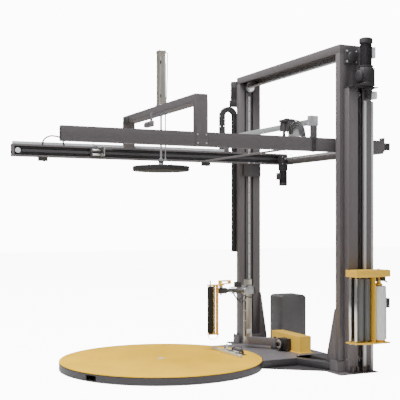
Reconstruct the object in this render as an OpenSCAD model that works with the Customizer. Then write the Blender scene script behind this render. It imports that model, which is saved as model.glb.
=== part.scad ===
// Gantry turntable pallet wrapper with top-sheet frame, film carriage and tail brush arm.
// Millimetres. Origin: centre of the turntable on the floor. +X runs towards the gantry,
// +Y towards the far column, +Z up.

/* [Turntable] */
// Diameter of the turntable
table_d = 2000; // [1500:50:2400]
// Height of the turntable's top above the floor
table_h = 80; // [76:1:110]
// Thickness of the turntable plate
table_plate = 8; // [5:1:12]
// Gap between the turntable plate and the ring wall under it
table_gap = 4; // [2:1:8]
// Wall of the base ring
ring_wall = 8; // [5:1:16]
// Thickness of the floor plate
floor_plate = 6; // [4:1:10]
// Width of one fork pocket
pocket_w = 110; // [80:5:200]
// Height of one fork pocket
pocket_h = 46; // [30:1:50]
// Distance of each fork pocket from the machine's long axis
pocket_y = 475; // [200:5:500]
// Outer radius of the slewing ring's fixed race
race_r = 190; // [120:5:220]
// Wall of the slewing ring's fixed race
race_wall = 40; // [20:1:60]
// Module of the turntable gear
gear_module = 6; // [4:1:8]
// Teeth of the turntable gear, in steps of 8 so that the pinion stays in mesh
gear_teeth = 80; // [80:8:96]
// Teeth of the drive pinion
pinion_teeth = 16; // [16:8:24]
// Face width of the turntable gear
gear_face = 32; // [24:1:34]
// Radius at which the support rollers run
roller_track_r = 860; // [600:10:880]
// Radius of one support roller
support_roller_r = 27; // [20:1:30]
// Width of one support roller
support_roller_w = 34; // [20:1:50]

/* [Base] */
// Distance from the turntable's rim to the columns
column_setback = 395; // [380:5:600]
// Half width of the deck
deck_half = 550; // [430:10:600]
// Thickness of the deck plate
deck_plate_t = 4; // [3:1:8]
// Width of the deck's long beams
base_beam_w = 60; // [40:1:80]
// Height of the column feet
foot_h = 110; // [90:5:160]
// Thickness of the anchor plates
anchor_plate = 10; // [8:1:20]
// Radius of one anchor hole
anchor_hole_r = 9; // [6:1:12]

/* [Gantry] */
// Overall height of the gantry
gantry_h = 3120; // [2700:10:3800]
// Clear width between the columns
inner_span = 1970; // [1900:10:2300]
// Column size along the pallet's way in
column_w = 277; // [250:1:320]
// Column size across
column_t = 70; // [60:1:100]
// Wall of the columns and the top beam
column_wall = 8; // [5:1:10]
// Height of the top beam
top_beam_h = 80; // [70:5:140]
// Width of one belt slot
slot_w = 20; // [14:1:30]
// Radius of the lift pulleys
lift_pulley_r = 45; // [40:1:50]
// Radius of the lift shaft
lift_shaft_r = 16; // [10:1:20]
// Height of the lift shaft below the gantry's top
lift_shaft_drop = 113; // [105:1:160]
// Thickness of the lift belts
belt_t = 3; // [2:0.5:4]
// Width of the guide rails
rail_w = 24; // [16:1:32]
// Height that the guide rails stand proud
rail_t = 12; // [8:1:14]
// Height of the gussets
gusset_h = 600; // [300:10:700]
// Reach of the gussets
gusset_reach = 160; // [100:5:200]
// Thickness of the gussets
gusset_t = 8; // [5:1:12]

/* [Film mast] */
// Height of the film mast
mast_h = 2705; // [2300:5:2800]
// Width of the film mast
mast_w = 258; // [240:1:280]
// Depth of the film mast
mast_t = 75; // [70:1:100]
// Width of the mast's chain slot
mast_slot = 51; // [46:1:60]
// Pitch radius of the mast's chain sprockets
sprocket_r = 24; // [20:1:25]
// Number of teeth on one sprocket
sprocket_teeth = 12; // [10:1:16]
// Width of the mast's guide rail
mast_rail_w = 30; // [24:1:36]
// Height that the mast's guide rail stands proud
mast_rail_t = 6; // [4:1:8]

/* [Film carriage] */
// Height of the carriage's bottom plate above the floor
carriage_z = 296; // [280:2:400]
// Distance between the carriage's bottom plate and its top housing
carriage_gap = 611; // [560:1:800]
// Height of the carriage's top housing
housing_h = 64; // [50:1:90]
// Depth of the film carriage
carriage_depth = 178; // [176:1:240]
// Length of the film roll
film_w = 500; // [400:10:520]
// Radius of the film roll
film_r = 73; // [45:1:75]
// Radius of the film roll's core
core_r = 38; // [30:1:40]
// Radius of the pre-stretch rollers
stretch_roller_r = 35; // [28:1:36]
// Radius of the guide rollers
guide_roller_r = 14; // [10:1:16]
// Radius of the roller journals
journal_r = 10; // [6:1:12]

/* [Top frame] */
// How far the top frame reaches past the turntable's centre
frame_reach = 1280; // [1200:10:1500]
// Height of the top frame's underside at the top of its travel
frame_z = 2105; // [2000:5:2150]
// Height of the frame beams
beam_h = 130; // [120:1:150]
// Width of the frame beams
beam_w = 50; // [46:1:60]
// How far the frame beams run behind the columns' rear faces
frame_tail = 318; // [300:1:400]
// Gap from a frame beam to the column beside it
beam_gap = 40; // [36:1:60]
// Radius of the gripper belts' pulleys
grip_pulley_r = 28; // [22:1:30]
// Radius of the belt drive shaft
belt_shaft_r = 12.5; // [10:0.5:16]

/* [Press] */
// Height of the portal above the frame beams
portal_h = 340; // [300:5:450]
// Width of the portal's tube
portal_w = 120; // [100:1:140]
// Height of the portal's top tube
portal_beam_h = 75; // [60:1:90]
// Stroke of the press
press_stroke = 420; // [200:10:440]
// Width of the press cylinder
press_cyl_w = 70; // [68:1:90]
// Radius of the piston rod
piston_rod_r = 10; // [8:1:14]
// Radius of the guide rod
guide_rod_r = 6; // [5:0.5:7]
// Diameter of the foam platen
platen_d = 565; // [400:5:700]
// Thickness of the foam platen
platen_t = 55; // [30:1:80]

/* [Sheet cutter] */
// Height of the cutter rail above the frame beams
cutter_rise = 130; // [110:5:180]
// Size of the cutter rail
cutter_rail = 50; // [40:1:60]
// Length of the cutter carriage
cutter_len = 180; // [120:5:200]
// Gap between the near beam's inner face and the parked cutter carriage
cutter_park = 360; // [60:10:600]

/* [Brush arm] */
// Size of the brush arm's square post
post_w = 65; // [50:1:70]
// Height of the brush arm's post above the floor
post_top = 812; // [790:2:860]
// Radius of the brush arm's pivot pin
pivot_r = 15; // [10:1:18]
// Radius of the sponge roller
sponge_r = 32; // [24:1:34]
// Length of the sponge roller
sponge_len = 495; // [400:5:500]

/* [Cabinet] */
// Width of the electrical cabinet
cabinet_w = 330; // [300:5:450]
// Depth of the electrical cabinet
cabinet_d = 270; // [250:5:400]
// Height of the electrical cabinet up to its lid
cabinet_h = 530; // [450:5:560]
// Height of the cabinet's lid
lid_h = 30; // [20:1:40]
// Wall of the cabinet
cabinet_wall = 12; // [8:1:20]

/* [Fits] */
// Radial clearance of a shaft in its bore
fit = 0.05; // [0.02:0.01:0.1]
// Clearance between pieces that pass each other
clear = 0.4; // [0.3:0.1:1]

/* [Hidden] */
$fn = 48;
eps = 1;                                    // how far a cut runs past a face
support_rollers = 3;

table_r = table_d / 2;
plate_z = table_h - table_plate;            // underside of the turntable plate
ring_top = plate_z - table_gap;
pitch_r = gear_module * gear_teeth / 2;
pinion_pitch_r = gear_module * pinion_teeth / 2;
pinion_x = pitch_r + pinion_pitch_r + 0.5;
roller_z = plate_z - clear - support_roller_r;

col_x0 = table_r + column_setback;          // front face of the columns
col_x1 = col_x0 + column_w;
col_y = inner_span / 2;                     // inner face of the columns
col_out = col_y + column_t;
belt_x = col_x0 + 125;                      // centre line of the lift belts and guide rails
column_top = gantry_h - top_beam_h;
shaft_z = gantry_h - lift_shaft_drop;
idler_z = foot_h + 110;
slot_off = lift_pulley_r;                   // the belts run down the slots' middles
belt_y0 = 22;                               // from a column's inner face to its belt
belt_w = 24;
foot_x0 = col_x0 - 35;
foot_x1 = col_x1 + 38;
foot_y0 = col_y - 45;
foot_y1 = col_out + mast_t + 50;

mast_x0 = col_x0 + 50;
mast_x1 = mast_x0 + mast_w;
mast_back = -col_out;
mast_front = -(col_out + mast_t);
mast_slot_x = mast_x0 + 132;                // middle of the chain slot
mast_rail_x = mast_x0 + 182;                // middle of the mast's rail
sprocket_y = mast_front + sprocket_r + 10;
sprocket_top_z = mast_h - 60;
sprocket_low_z = 130;
chain_r = sprocket_r + 4;                   // inner radius of the mast chain's bend
chain_t = 4;

housing_z = carriage_z + 12 + carriage_gap;
carriage_back_y = mast_front - 10;
car_x0 = mast_x0 - 50;
car_x1 = mast_x0 + 330;
car_y1 = carriage_back_y - 12;
car_y0 = car_y1 - carriage_depth;
film_pos = [mast_x0 + 255, car_y1 - 98];
roller_a_pos = [mast_x0 + 52, car_y1 - 83];
roller_b_pos = [mast_x0 + 129, car_y1 - 83];
guide_a_pos = [mast_x0 - 28, car_y1 - 43];
guide_b_pos = [mast_x0 - 6, car_y1 - 100];

beam_y1 = col_y - beam_gap;                 // outer face of the frame beams
beam_y0 = beam_y1 - beam_w;
frame_x0 = -frame_reach;
frame_x1 = col_x1 + frame_tail;
beam_top = frame_z + beam_h;
beam_back = 18;                             // web of the channel-shaped frame beams
lane_z = frame_z + beam_h / 2;              // middle of the gripper belts
pulley_front_x = frame_x0 + 63;
pulley_rear_x = frame_x1 - 90;
portal_z = beam_top + portal_h;
rod_z0 = frame_z - 70;
platen_z = frame_z - 175;
guide_rod_x = press_cyl_w / 2 + guide_rod_r + 6;
cylinder_z0 = portal_z + 15;
cylinder_z1 = cylinder_z0 + press_stroke + 90;
cutter_x = table_r + 190;
cutter_z = beam_top + cutter_rise;
gripper_x = -375;

arm_pivot = [col_x0 - 65, 50];
post_pos = [col_x0 - 265, 290];
head_pivot = [col_x0 - 595, 275];
sponge_pos = [col_x0 - 732, 250];
sponge_z = 260;
arm_z0 = table_h + 35;
arm_z1 = arm_z0 + 80;
bar_z = 700;

cab_x0 = col_x1 + 222;
cab_x1 = cab_x0 + cabinet_w;
cab_y0 = 864;
cab_y1 = cab_y0 + cabinet_d;
hinge_strip = 20;                           // front strip that carries the door's hinges

steel_grey = "#5b5558";
frame_grey = "#6a6266";
deck_grey = "#77727a";
dark = "#2c2a2b";
yellow = "#f2bb2f";
alu = "#c9cccb";
warm_alu = "#b3aa98";
steel = "#b8babc";

// ---------- shared shapes ----------

// Box from its low corner to its high corner.
module box(low, high) { translate(low) cube(high - low); }

// Upright cylinder at p = [x, y] from z0 to z1.
module rod_z(p, r, z0, z1) { translate([p[0], p[1], z0]) cylinder(r = r, h = z1 - z0); }

// Cylinder along X at p = [y, z].
module rod_x(p, r, x0, x1) {
    translate([x0, p[0], p[1]]) rotate([0, 90, 0]) cylinder(r = r, h = x1 - x0);
}

// Cylinder along Y at p = [x, z].
module rod_y(p, r, y0, y1) {
    translate([p[0], y0, p[1]]) rotate([-90, 0, 0]) cylinder(r = r, h = y1 - y0);
}

// The children as drawn, on the far side, and their mirror image on the near side.
module both_sides() {
    children();
    mirror([0, 1, 0]) children();
}

module gear_outline(teeth, pitch, mod)
    polygon([for (i = [0:teeth - 1])
             for (p = [[-0.28, pitch - 1.25 * mod], [-0.1, pitch + 0.9 * mod],
                       [0.1, pitch + 0.9 * mod], [0.28, pitch - 1.25 * mod]])
             let (a = (i + p[0]) * 360 / teeth) p[1] * [cos(a), sin(a)]]);

// Outline of a belt round two pulleys, one at the origin and one at [0, span].
module loop_outline(span, r, t) {
    difference() {
        loop_area(span, r + t);
        loop_area(span, r);
    }
}

module loop_area(span, r) {
    circle(r = r);
    translate([0, span]) circle(r = r);
    translate([-r, 0]) square([2 * r, span]);
}

// ---------- floor frame ----------

module floor_outline() {
    rim_y = min(deck_half, table_r * 0.56);
    circle(r = table_r, $fn = 180);
    polygon([[0, -rim_y], [sqrt(table_r * table_r - rim_y * rim_y), -rim_y],
             [foot_x0 - 20, -foot_y0], [foot_x1 + 20, -foot_y0],
             [foot_x1 + 20, foot_y0], [foot_x0 - 20, foot_y0],
             [sqrt(table_r * table_r - rim_y * rim_y), rim_y], [0, rim_y]]);
}

module base_floor_plate() color(dark) linear_extrude(floor_plate) floor_outline();

module base_ring() color(dark) difference() {
    translate([0, 0, floor_plate]) linear_extrude(ring_top - floor_plate) difference() {
        circle(r = table_r, $fn = 180);
        circle(r = table_r - ring_wall, $fn = 180);
    }
    for (s = [-1, 1])
        box([-table_r - eps, s * pocket_y - pocket_w / 2, floor_plate + 6],
            [-table_r / 2, s * pocket_y + pocket_w / 2, floor_plate + 6 + pocket_h]);
}

module base_frame() {
    top = table_h - deck_plate_t;
    knee_x = col_x0 - 155;
    color(steel_grey) translate([0, 0, floor_plate]) linear_extrude(top - floor_plate) {
        both_sides() difference() {
            union() {
                translate([0, deck_half - base_beam_w]) square([knee_x, base_beam_w]);
                polygon([[knee_x, deck_half], [knee_x, deck_half - base_beam_w],
                         [knee_x + 40, deck_half - base_beam_w], [col_x0 + 85, foot_y0 - 60],
                         [col_x0 + 85, foot_y0], [col_x0, foot_y0]]);
            }
            circle(r = table_r + clear, $fn = 180);
        }
        translate([col_x0 + 85, -foot_y0]) square([column_w - 85, 2 * foot_y0]);
        translate([knee_x - 30, -deck_half + base_beam_w])
            square([base_beam_w, 2 * (deck_half - base_beam_w)]);
        both_sides() translate([knee_x - 30, 120]) square([column_w, base_beam_w]);
    }
}

module deck_plate() {
    inner = deck_half - 130;
    color(deck_grey) translate([0, 0, table_h - deck_plate_t]) linear_extrude(deck_plate_t)
        difference() {
            polygon([[0, -deck_half], [col_x0 - 155, -deck_half], [col_x0 - 95, -inner],
                     [col_x1, -inner], [col_x1, inner], [col_x0 - 95, inner],
                     [col_x0 - 155, deck_half], [0, deck_half]]);
            circle(r = table_r + 6, $fn = 180);
        }
}

// ---------- turntable drive ----------

module slewing_race() color(steel) difference() {
    rod_z([0, 0], race_r, floor_plate, plate_z - 6);
    rod_z([0, 0], race_r - race_wall, floor_plate - eps, plate_z);
}

module slewing_gear() color(steel) translate([0, 0, plate_z - gear_face]) difference() {
    linear_extrude(gear_face) gear_outline(gear_teeth, pitch_r, gear_module);
    translate([0, 0, -eps]) cylinder(r = race_r + fit, h = gear_face + 2 * eps, $fn = 96);
}

module drive_pinion() {
    z0 = plate_z - gear_face + 4;
    color(steel) {
        translate([pinion_x, 0, z0]) rotate(180 / pinion_teeth)
            linear_extrude(gear_face - 8) gear_outline(pinion_teeth, pinion_pitch_r, gear_module);
        rod_z([pinion_x, 0], 14, z0 - 24, z0);
    }
}

module table_gearmotor() {
    z0 = plate_z - gear_face - 2;
    mid = (floor_plate + plate_z) / 2;
    color(dark) difference() {
        union() {
            box([pinion_x - 54, -48, floor_plate], [pinion_x + 62, 48, z0]);
            box([pinion_x + 62, -52, floor_plate], [pinion_x + 150, 52, plate_z - 8]);
            rod_x([0, mid], 26, pinion_x + 150, pinion_x + 330);
            for (i = [0:7]) rod_x([0, mid], 28, pinion_x + 180 + 16 * i, pinion_x + 186 + 16 * i);
        }
        rod_z([pinion_x, 0], 14 + fit, z0 - 18.5, z0 + eps);
    }
}

module turntable_plate() color(yellow) rod_z_fine([0, 0], table_r, plate_z, table_h);

module rod_z_fine(p, r, z0, z1) translate([p[0], p[1], z0]) cylinder(r = r, h = z1 - z0, $fn = 180);

module place_roller(i) rotate(360 / support_rollers * (i - 0.5)) translate([roller_track_r, 0, 0])
    children();

module roller_brackets() {
    half = support_roller_w / 2 + 2;
    color(steel_grey) for (i = [1:support_rollers]) place_roller(i) difference() {
        union() {
            box([-half - 8, -40, floor_plate], [half + 8, 40, floor_plate + 5]);
            for (s = [-1, 1]) box([s > 0 ? half : -half - 8, -22, floor_plate],
                                  [s > 0 ? half + 8 : -half, 22, roller_z + 12]);
        }
        rod_x([0, roller_z], 6 + fit, -half - 9, half + 9);
    }
}

module support_roller(i) color(dark) place_roller(i) {
    rod_x([0, roller_z], support_roller_r, -support_roller_w / 2, support_roller_w / 2);
    rod_x([0, roller_z], 6, -support_roller_w / 2 - 12, support_roller_w / 2 + 12);
}

// ---------- film clamp on the turntable ----------

clamp_x = table_r - 200;
clamp_z = table_h + 26;

module clamp_base() {
    color(steel) {
        box([clamp_x - 30, -190, table_h], [clamp_x + 60, 190, table_h + 5]);
        difference() {
            union() for (y = [-170, 0, 170]) box([clamp_x - 12, y - 6, table_h], [clamp_x + 12, y + 6, clamp_z + 14]);
            rod_y([clamp_x, clamp_z], 6 + fit, -180, 180);
        }
        for (y = [-140, 70]) box([clamp_x + 24, y, table_h], [clamp_x + 56, y + 12, clamp_z + 2]);
    }
    color("#8d8b86") rod_y([clamp_x + 40, table_h + 26], 20, -128, 70);
}

module clamp_bar() color("#d9dcdf") {
    rod_y([clamp_x, clamp_z], 6, -178, 178);
    for (y = [-120, 100]) box([clamp_x - 62, y, clamp_z - 5], [clamp_x, y + 20, clamp_z + 5]);
    box([clamp_x - 90, -330, table_h + 1], [clamp_x - 62, 330, table_h + 31]);
    box([clamp_x - 5, 124, clamp_z], [clamp_x + 5, 148, clamp_z + 50]);
}

// ---------- gantry ----------

// Section of one column, with its inner face on y = 0 and the rest on +Y.
module column_section() difference() {
    translate([col_x0, 0]) square([column_w, column_t]);
    translate([col_x0 + column_wall, column_wall])
        square([column_w - 2 * column_wall, column_t - 2 * column_wall]);
    for (s = [-1, 1])
        translate([belt_x + s * slot_off - slot_w / 2, -eps]) square([slot_w, column_wall + 2 * eps]);
}

module columns() color(frame_grey) both_sides() difference() {
    translate([0, col_y, foot_h]) linear_extrude(column_top - foot_h) column_section();
    rod_y([belt_x, shaft_z], lift_shaft_r + 6, col_y - eps, col_out + eps);
    rod_y([belt_x, idler_z], journal_r + fit, col_y - eps, col_out + eps);
}

module top_beam() color(frame_grey) difference() {
    box([col_x0, -col_out, column_top], [col_x1, col_out, gantry_h]);
    box([col_x0 + column_wall, -col_out + column_wall, column_top - eps],
        [col_x1 - column_wall, col_out - column_wall, gantry_h - column_wall]);
}

module column_feet() color(steel_grey) both_sides() {
    box([foot_x0, foot_y0, anchor_plate], [foot_x1, col_out + 15, foot_h]);
    difference() {
        box([foot_x0 - 40, foot_y0, 0], [foot_x1 + 40, foot_y1, anchor_plate]);
        for (x = [foot_x0 - 20, foot_x1 + 20], y = [foot_y0 + 30, foot_y1 - 25])
            rod_z([x, y], anchor_hole_r, -eps, anchor_plate + eps);
    }
    for (x = [col_x0, col_x1 - gusset_t]) translate([x, col_y, 0]) gusset();
}

// Gusset plate from a column's inner face down over its foot to the floor frame.
module gusset() rotate([90, 0, -90]) mirror([0, 0, 1]) linear_extrude(gusset_t) {
    step = col_y - foot_y0;
    low = table_h - deck_plate_t;
    polygon([[0, foot_h - 2], [step - 2, foot_h - 2], [step, foot_h], [step, low], [gusset_reach, low],
             [gusset_reach, foot_h], [20, gusset_h], [0, gusset_h]]);
}

module guide_rails() color(steel) both_sides()
    box([belt_x - rail_w / 2, col_y - rail_t, idler_z + 70], [belt_x + rail_w / 2, col_y, shaft_z - 110]);

module shaft_bearings() color(steel) {
    both_sides() difference() {
        union() {
            rod_y([belt_x, shaft_z], 62, col_y - 14, col_y);
            rod_y([belt_x, shaft_z], 34, col_y - 26, col_y - 14);
        }
        rod_y([belt_x, shaft_z], lift_shaft_r + fit, col_y - 27, col_y + eps);
    }
    difference() {
        union() {
            box([belt_x - 75, -col_out - 18, shaft_z - 68], [belt_x + 75, -col_out, shaft_z + 68]);
            rod_y([belt_x, shaft_z], 45, -col_out - 36, -col_out - 18);
        }
        rod_y([belt_x, shaft_z], lift_shaft_r + fit, -col_out - 30, -col_out + eps);
    }
}

module lift_belts() color(dark) both_sides()
    translate([belt_x, col_y + belt_y0 + belt_w, idler_z]) rotate([90, 0, 0])
        linear_extrude(belt_w) loop_outline(shaft_z - idler_z, lift_pulley_r + clear, belt_t);

module lift_shaft() color(steel) {
    rod_y([belt_x, shaft_z], lift_shaft_r, -col_out - 28, col_out + 60);
    both_sides() {
        rod_y([belt_x, shaft_z], lift_pulley_r, col_y + belt_y0 + 1, col_y + belt_y0 + belt_w - 1);
    }
}

module lift_idlers() color(steel) both_sides() {
    rod_y([belt_x, idler_z], lift_pulley_r, col_y + belt_y0 + 1, col_y + belt_y0 + belt_w - 1);
    rod_y([belt_x, idler_z], journal_r, col_y + 2, col_out - 2);
}

module lift_gearmotor() color(dark) difference() {
    union() {
        box([belt_x - 68, col_out, shaft_z - 70], [belt_x + 80, col_out + 115, shaft_z + 70]);
        box([belt_x - 165, col_out + 5, shaft_z - 215], [belt_x + 30, col_out + 110, shaft_z - 140]);
        box([belt_x - 40, col_out + 5, shaft_z - 141], [belt_x + 30, col_out + 110, shaft_z - 69]);
        rod_z([belt_x - 118, col_out + 60], 48, shaft_z - 141, shaft_z + 74);
    }
    rod_y([belt_x, shaft_z], lift_shaft_r + fit, col_out - eps, col_out + 62);
}

// ---------- film mast ----------

module film_mast() {
    shaft_bore = journal_r - 2;
    color(frame_grey) difference() {
        translate([0, 0, anchor_plate]) linear_extrude(mast_h - anchor_plate) difference() {
            translate([mast_x0, mast_front]) square([mast_w, mast_t]);
            translate([mast_x0 + column_wall, mast_front + column_wall])
                square([mast_w - 2 * column_wall, mast_t - 2 * column_wall]);
            translate([mast_slot_x - mast_slot / 2, mast_front - eps])
                square([mast_slot, column_wall + 2 * eps]);
        }
        box([mast_x0 - eps, -col_out - 15, anchor_plate - eps], [mast_x1 + eps, mast_back + eps, foot_h]);
        for (z = [sprocket_top_z, sprocket_low_z])
            rod_x([sprocket_y, z], shaft_bore + fit, mast_x0 - eps, mast_x1 + eps);
    }
    color(steel) box([mast_rail_x - mast_rail_w / 2, mast_front - mast_rail_t, anchor_plate],
                     [mast_rail_x + mast_rail_w / 2, mast_front, mast_h - 120]);
}

module mast_chain() color(dark)
    translate([mast_slot_x + 4, sprocket_y, sprocket_low_z]) rotate([90, 0, -90]) linear_extrude(8)
        loop_outline(sprocket_top_z - sprocket_low_z, chain_r, chain_t);

module mast_sprocket(z) {
    shaft_r = journal_r - 2;
    color(steel) {
        translate([mast_slot_x + 3, sprocket_y, z]) rotate([90, 0, -90]) linear_extrude(6)
            gear_outline(sprocket_teeth, sprocket_r, 3);
        rod_x([sprocket_y, z], shaft_r, mast_x0 + 1, mast_x1 + (z == sprocket_top_z ? 20 : -1));
    }
}

module mast_gearmotor() {
    axis = [mast_x0 + 170, mast_front - 35];
    color(dark) {
        box([mast_x0 - 5, mast_front - 60, mast_h], [mast_x1 + 40, mast_back - 6, mast_h + 10]);
        box([axis[0] - 95, axis[1] - 55, mast_h + 10], [axis[0] + 88, axis[1] + 62, mast_h + 195]);
        rod_z(axis, 56, mast_h + 195, mast_h + 420);
        rod_z(axis, 64, mast_h + 420, mast_h + 470);
        box([axis[0] + 50, axis[1] - 30, mast_h + 290], [axis[0] + 88, axis[1] + 30, mast_h + 390]);
        rod_z([axis[0] + 40, axis[1] + 8], 26, mast_h - 100, mast_h);
    }
    color("#a9a8a2") difference() {
        box([mast_x1, sprocket_y - 38, sprocket_top_z - 36], [mast_x1 + 82, sprocket_y + 42, sprocket_top_z + 38]);
        rod_x([sprocket_y, sprocket_top_z], journal_r - 2 + fit, mast_x1 - eps, mast_x1 + 21);
    }
}

module cable_guides() {
    cable_ducts();
    cable_chain();
}

module cable_ducts() color(alu) {
    box([mast_x1, mast_front + 4, anchor_plate], [mast_x1 + 30, mast_front + 34, sprocket_top_z - 60]);
    box([col_x0 + 24, col_out, foot_h + 950], [col_x0 + 64, col_out + 35, frame_z + 520]);
    box([foot_x1, cab_y0 + 136, anchor_plate], [cab_x0, cab_y0 + 196, anchor_plate + 40]);
}

// Energy chain beside the far column: fixed run, bend and the run down to the frame.
module cable_chain() {
    bend_r = 82;
    bend_z = frame_z + 575;
    run_x = col_x0 - 10;
    color(dark) translate([0, col_out + 10, 0]) {
        translate([run_x - bend_r, 50, bend_z]) rotate([90, 0, 0]) linear_extrude(50) intersection() {
            difference() {
                circle(r = bend_r + 17);
                circle(r = bend_r - 17);
            }
            translate([-bend_r - 20, 0]) square([2 * bend_r + 40, bend_r + 20]);
        }
        box([run_x - 17, 0, foot_h + 970], [run_x + 17, 50, bend_z]);
        box([run_x - 2 * bend_r - 17, 0, bend_z - 120], [run_x - 2 * bend_r + 17, 50, bend_z]);
    }
    color(steel) for (z = [foot_h + 1000, frame_z + 380])
        box([run_x + 17, col_out, z], [run_x + 34, col_out + 60, z + 40]);
}

// ---------- tail brush arm ----------

module brush_base() {
    color(yellow) {
        box([col_x0 + 5, -330, table_h + 6], [col_x0 + 145, 245, table_h + 172]);
        box([col_x0 - 15, -350, table_h], [col_x0 + 165, 265, table_h + 6]);
    }
    color(dark) {
        rod_z(arm_pivot, 45, table_h, arm_z0 - clear);
        rod_z(arm_pivot, pivot_r, arm_z0 - clear, arm_z1 + 14);
    }
}

module brush_gearmotor() color(dark) {
    box([col_x0 - 60, -170, table_h], [col_x0 - 15, -20, table_h + 20]);
    box([col_x0 - 75, -165, table_h + 20], [col_x0 + 5, -25, table_h + 130]);
    rod_x([-95, table_h + 75], 48, col_x0 - 105, col_x0 - 75);
    rod_x([-95, table_h + 75], 22, col_x0 - 125, col_x0 - 105);
}

module swing_arm() {
    dir = post_pos - arm_pivot;
    color(warm_alu) difference() {
        union() {
            rod_z(arm_pivot, 36, arm_z0, arm_z1);
            translate([arm_pivot[0], arm_pivot[1], arm_z0]) rotate(atan2(dir[1], dir[0]))
                translate([0, -28, 0]) cube([norm(dir), 56, arm_z1 - arm_z0]);
            box([post_pos[0] - post_w / 2, post_pos[1] - post_w / 2, arm_z0],
                [post_pos[0] + post_w / 2, post_pos[1] + post_w / 2, post_top]);
        }
        rod_z(arm_pivot, pivot_r + fit, arm_z0 - eps, arm_z1 + eps);
    }
    color(alu) {
        box([post_pos[0] - 48, post_pos[1] - 48, bar_z - 45], [post_pos[0] + 48, post_pos[1] - post_w / 2, bar_z + 45]);
        box([post_pos[0] - 48, post_pos[1] + post_w / 2, bar_z - 45], [post_pos[0] + 48, post_pos[1] + 48, bar_z + 45]);
        rod_x([head_pivot[1], bar_z], 21, head_pivot[0] + 60, post_pos[0] - post_w / 2);
        box([post_pos[0] + post_w / 2, post_pos[1] - 20, bar_z - 20], [post_pos[0] + post_w / 2 + 24, post_pos[1] + 20, bar_z + 20]);
    }
    color(dark) difference() {
        box([head_pivot[0] - 22, head_pivot[1] - 24, bar_z - 30], [head_pivot[0] + 60, head_pivot[1] + 24, bar_z + 30]);
        rod_z(head_pivot, 9 + fit, bar_z - 31, bar_z + 31);
    }
}

module brush_head() {
    top = sponge_z + sponge_len;
    reach = head_pivot - sponge_pos;
    color(yellow) difference() {
        union() {
            rod_z(head_pivot, 9, bar_z - 46, bar_z + 90);
            box([sponge_pos[0] - 26, sponge_pos[1] - 22, top + 4], [head_pivot[0] + 22, sponge_pos[1] + 32, top + 16]);
            box([head_pivot[0] - 14, head_pivot[1] - 14, bar_z + 32], [head_pivot[0] + 14, head_pivot[1] + 14, top + 4]);
            box([sponge_pos[0] + 40, sponge_pos[1] - 22, sponge_z - 16], [sponge_pos[0] + 48, sponge_pos[1] + 22, top + 4]);
            box([sponge_pos[0] + 86, sponge_pos[1] - 5, sponge_z - 26], [sponge_pos[0] + 94, sponge_pos[1] + 50, top + 4]);
            box([sponge_pos[0] - 26, sponge_pos[1] - 22, sponge_z - 16], [sponge_pos[0] + 94, sponge_pos[1] + 22, sponge_z - 4]);
            box([head_pivot[0] - 22, head_pivot[1] - 22, top + 16], [head_pivot[0] + 110, head_pivot[1] + 22, top + 56]);
        }
        rod_z(sponge_pos, 7 + fit, sponge_z - 17, sponge_z + sponge_len + 17);
        box([head_pivot[0] - 4, head_pivot[1] - 23, top + 24], [head_pivot[0] + 92, head_pivot[1] + 23, top + 42]);
    }
}

module sponge_roller() color(dark) {
    rod_z(sponge_pos, sponge_r, sponge_z, sponge_z + sponge_len);
    rod_z(sponge_pos, 7, sponge_z - 15, sponge_z + sponge_len + 60);
}

// ---------- film carriage ----------

module carriage_plate() {
    color(dark) {
        box([mast_x0 + 15, carriage_back_y - 12, carriage_z + 34], [mast_x1 - 13, carriage_back_y, housing_z + housing_h - 4]);
        for (z = [carriage_z + 60, housing_z - 80]) difference() {
            box([mast_rail_x - mast_rail_w / 2 - 14, carriage_back_y, z],
                [mast_rail_x + mast_rail_w / 2 + 14, mast_front - clear, z + 60]);
            box([mast_rail_x - mast_rail_w / 2 - clear, mast_front - mast_rail_t - clear, z - eps],
                [mast_rail_x + mast_rail_w / 2 + clear, mast_front, z + 61]);
        }
        box([mast_slot_x - 12, carriage_back_y, housing_z - 160],
            [mast_slot_x + 12, sprocket_y - chain_r - chain_t - clear, housing_z - 120]);
    }
    color(dark) {
        box([mast_x1 - 13, carriage_back_y - 10, carriage_z + 350], [mast_x1 + 140, carriage_back_y, carriage_z + 380]);
        box([mast_x1 + 80, carriage_back_y - 95, carriage_z + 322], [mast_x1 + 140, carriage_back_y - 10, carriage_z + 412]);
    }
}

module carriage_frame() {
    web_x = mast_x0 + 168;
    color(yellow) difference() {
        union() {
            box([car_x0, car_y0, housing_z], [car_x1, car_y1, housing_z + housing_h]);
            translate([0, 0, carriage_z]) linear_extrude(12)
                polygon([[car_x0, car_y1], [car_x0, car_y0 + 105], [car_x0 + 30, car_y0 + 50],
                         [car_x0 + 135, car_y0], [car_x1, car_y0], [car_x1, car_y1]]);
            box([web_x, car_y0 + 20, carriage_z + 12], [web_x + 8, car_y1, housing_z]);
        }
        for (p = [roller_a_pos, roller_b_pos]) {
            rod_z(p, journal_r + fit, carriage_z - eps, carriage_z + 13);
            rod_z(p, journal_r + fit, housing_z - eps, housing_z + 20);
        }
        for (p = [guide_a_pos, guide_b_pos]) {
            rod_z(p, 6 + fit, carriage_z - eps, carriage_z + 13);
            rod_z(p, 6 + fit, housing_z - eps, housing_z + 20);
        }
        rod_z(film_pos, 12 + fit, carriage_z - eps, carriage_z + 13);
        rod_z(film_pos, 12 + fit, housing_z - eps, housing_z + 20);
    }
}

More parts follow.
